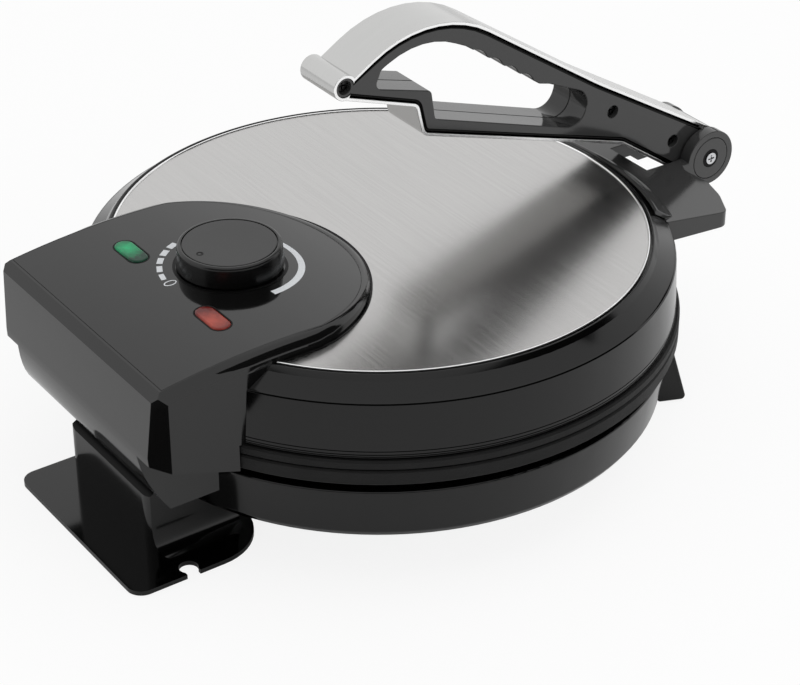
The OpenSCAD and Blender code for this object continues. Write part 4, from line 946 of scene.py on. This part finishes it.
def addKnob():
    bottom, crown = knobLow.z / mm, knobHigh.z / mm
    shoulder, rounding = knob["top"] - knob["round"], knob["round"]
    hollow, floor = knob["cap"] + knob["groove"], crown - knob["recess"]
    side = [(0, bottom + 0.2), (knob["bore"], bottom + 0.2), (knob["ledge"], bottom + 0.2),
            (knob["foot"] - 0.4, bottom), (knob["foot"], bottom + 0.4),
            (knob["top"] + 0.1, crown - rounding - 0.3)]
    side += roundTo((shoulder, crown - rounding), rounding, 0, 90, 6)
    side += [(hollow, crown - 0.1), (hollow - 0.1, floor), (0, floor)]
    lathe("thermostatKnob", side, knobAbs, "knob", (0, knobPlace.y), stands=["knob"])
    capLow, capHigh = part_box("knob_cap")
    capFoot, capTop = capLow.z / mm, capHigh.z / mm
    dishR, dishDepth, dishMiddle = knob["capDish"]
    edgeMiddle = (knob["cap"] - knob["capRound"], capTop - knob["capRound"] - 0.05)
    edge = roundTo(edgeMiddle, knob["capRound"], 0, 90, 4)
    lathe("knobCap", [(0, capFoot), (knob["cap"], capFoot)] + edge
          + [(dishR, capTop - dishDepth), (0, capTop - dishMiddle)],
          capAbs, "knob_cap", (0, knobPlace.y), stands=["knob_cap"])
    # painted shade: the shallow pit takes the matt shade material
    lathe("knobPointer", [(1.5, capTop - 0.3), (1.5, capTop - 0.02), (1.15, capTop - 0.02),
                          (0.95, capTop - 0.08), (0, capTop - 0.12)],
          mattShadeAbs, "knob_cap", knob["pointer"], segments=48)


addKnob()
print("control panel finished")


# studio: pale floor, white surround, two large soft boxes, and dark cards that only reflections show

studio = {
    "floorColour": "#f2f2f2",
    "floorWhite": 0.86,      # how much of the floor's tone is plain white, so that its shadow is faint
    "surround": 0.75,        # light of the surround on matt surfaces
    "topBox": {"place": (-0.5, -0.3, 2.2), "size": 1.8, "power": 12.0},
    "sideBox": {"place": (-1.6, -0.6, 1.0), "size": 1.0, "power": 6.0},
    # cards: azimuth and half its span, lowest and highest elevation, in degrees
    "cards": [(262, 76, 4, 43), (34.5, 4.5, 2, 10), (14, 7, 24, 40)],
    # a level card by the housing's near corner, its places and height in millimetres
    "cornerCard": [(-58.7, 154.9), (-71, 146.3), (-106, 192.6), (-88.8, 204.7)],
    "cornerCardHeight": 62,
    "cardReach": 2.6,
    "cardTone": "#0a0a0a",
}


def addFloor(colour, white):
    mesh = bpy.data.meshes.new("floor")
    reach = 12
    mesh.from_pydata([(-reach, -reach, 0), (reach, -reach, 0), (reach, reach, 0), (-reach, reach, 0)],
                     [], [(0, 1, 2, 3)])
    floor = bpy.data.objects.new("floor", mesh)
    floor.location.z = -0.0002
    bpy.context.scene.collection.objects.link(floor)
    material, tree, shader = startMaterial("paleFloorPaper", colour, 0.9)
    shader.inputs["Specular IOR Level"].default_value = 0.0
    glow = addNode(tree, "ShaderNodeEmission", {"Strength": 1.0})
    path = addNode(tree, "ShaderNodeLightPath")
    share = addNode(tree, "ShaderNodeMath", {"operation": "MULTIPLY"})
    tree.links.new(path.outputs["Is Camera Ray"], share.inputs[0])
    share.inputs[1].default_value = white
    mix = addNode(tree, "ShaderNodeMixShader", links={"Fac": share.outputs["Value"]})
    tree.links.new(shader.outputs["BSDF"], mix.inputs[1])
    tree.links.new(glow.outputs["Emission"], mix.inputs[2])
    tree.links.new(mix.outputs["Shader"], tree.nodes["Material Output"].inputs["Surface"])
    mesh.materials.append(material)


def addLamp(name, setup):
    data = bpy.data.lights.new(name, "AREA")
    data.shape = "DISK"
    data.size = setup["size"]
    data.energy = setup["power"]
    lamp = bpy.data.objects.new(name, data)
    place = Vector(setup["place"])
    lamp.location = place
    lamp.rotation_mode = "QUATERNION"
    lamp.rotation_quaternion = (Vector((0, 0, 0.05)) - place).to_track_quat("-Z", "Y")
    lamp.visible_glossy = False
    bpy.context.scene.collection.objects.link(lamp)


feltMaterial, _, feltShader = startMaterial("blackFelt", studio["cardTone"], 1.0)
feltShader.inputs["Specular IOR Level"].default_value = 0.0


def addCard(name, points, faces):
    # seen in reflections alone, where it draws the dark lines and darkens the near corner
    mesh = bpy.data.meshes.new(name)
    mesh.from_pydata(points, [], faces)
    mesh.materials.append(feltMaterial)
    card = bpy.data.objects.new(name, mesh)
    bpy.context.scene.collection.objects.link(card)
    for seenBy in ("visible_camera", "visible_diffuse", "visible_shadow", "visible_transmission"):
        setattr(card, seenBy, False)


def addBentCard(name, azimuth, halfSpan, lowest, highest, steps=24):
    # stands away from the object, bent round its middle
    reach = studio["cardReach"]
    points = []
    for step in range(steps + 1):
        turn = math.radians(azimuth + halfSpan * (2 * step / steps - 1))
        for elevation in (math.radians(lowest), math.radians(highest)):
            points.append((math.sin(turn) * math.cos(elevation) * reach,
                           -math.cos(turn) * math.cos(elevation) * reach, math.sin(elevation) * reach))
    addCard(name, points, [(2 * i, 2 * i + 2, 2 * i + 3, 2 * i + 1) for i in range(steps)])


def addWorld(diffuseStrength):
    world = bpy.data.worlds.new("whiteSurround")
    world.use_nodes = True
    bpy.context.scene.world = world
    tree = world.node_tree
    back = tree.nodes["Background"]
    back.inputs["Color"].default_value = (1, 1, 1, 1)
    path = addNode(tree, "ShaderNodeLightPath")
    seen = addNode(tree, "ShaderNodeMath", {"operation": "MAXIMUM"})
    tree.links.new(path.outputs["Is Camera Ray"], seen.inputs[0])
    tree.links.new(path.outputs["Is Glossy Ray"], seen.inputs[1])
    seenToo = addNode(tree, "ShaderNodeMath", {"operation": "MAXIMUM"})
    tree.links.new(seen.outputs["Value"], seenToo.inputs[0])
    tree.links.new(path.outputs["Is Transmission Ray"], seenToo.inputs[1])
    strength = varied(tree, seenToo.outputs["Value"], diffuseStrength, 1.0)
    tree.links.new(strength, back.inputs["Strength"])


addFloor(studio["floorColour"], studio["floorWhite"])
addWorld(studio["surround"])
addLamp("topBox", studio["topBox"])
addLamp("sideBox", studio["sideBox"])
for number, card in enumerate(studio["cards"]):
    addBentCard("darkCard" + str(number), *card)
cornerPoints = [placed(x, y, studio["cornerCardHeight"]) for x, y in studio["cornerCard"]]
addCard("cornerCard", cornerPoints, [(0, 1, 2, 3)])
print("studio set")

bpy.context.view_layer.update()
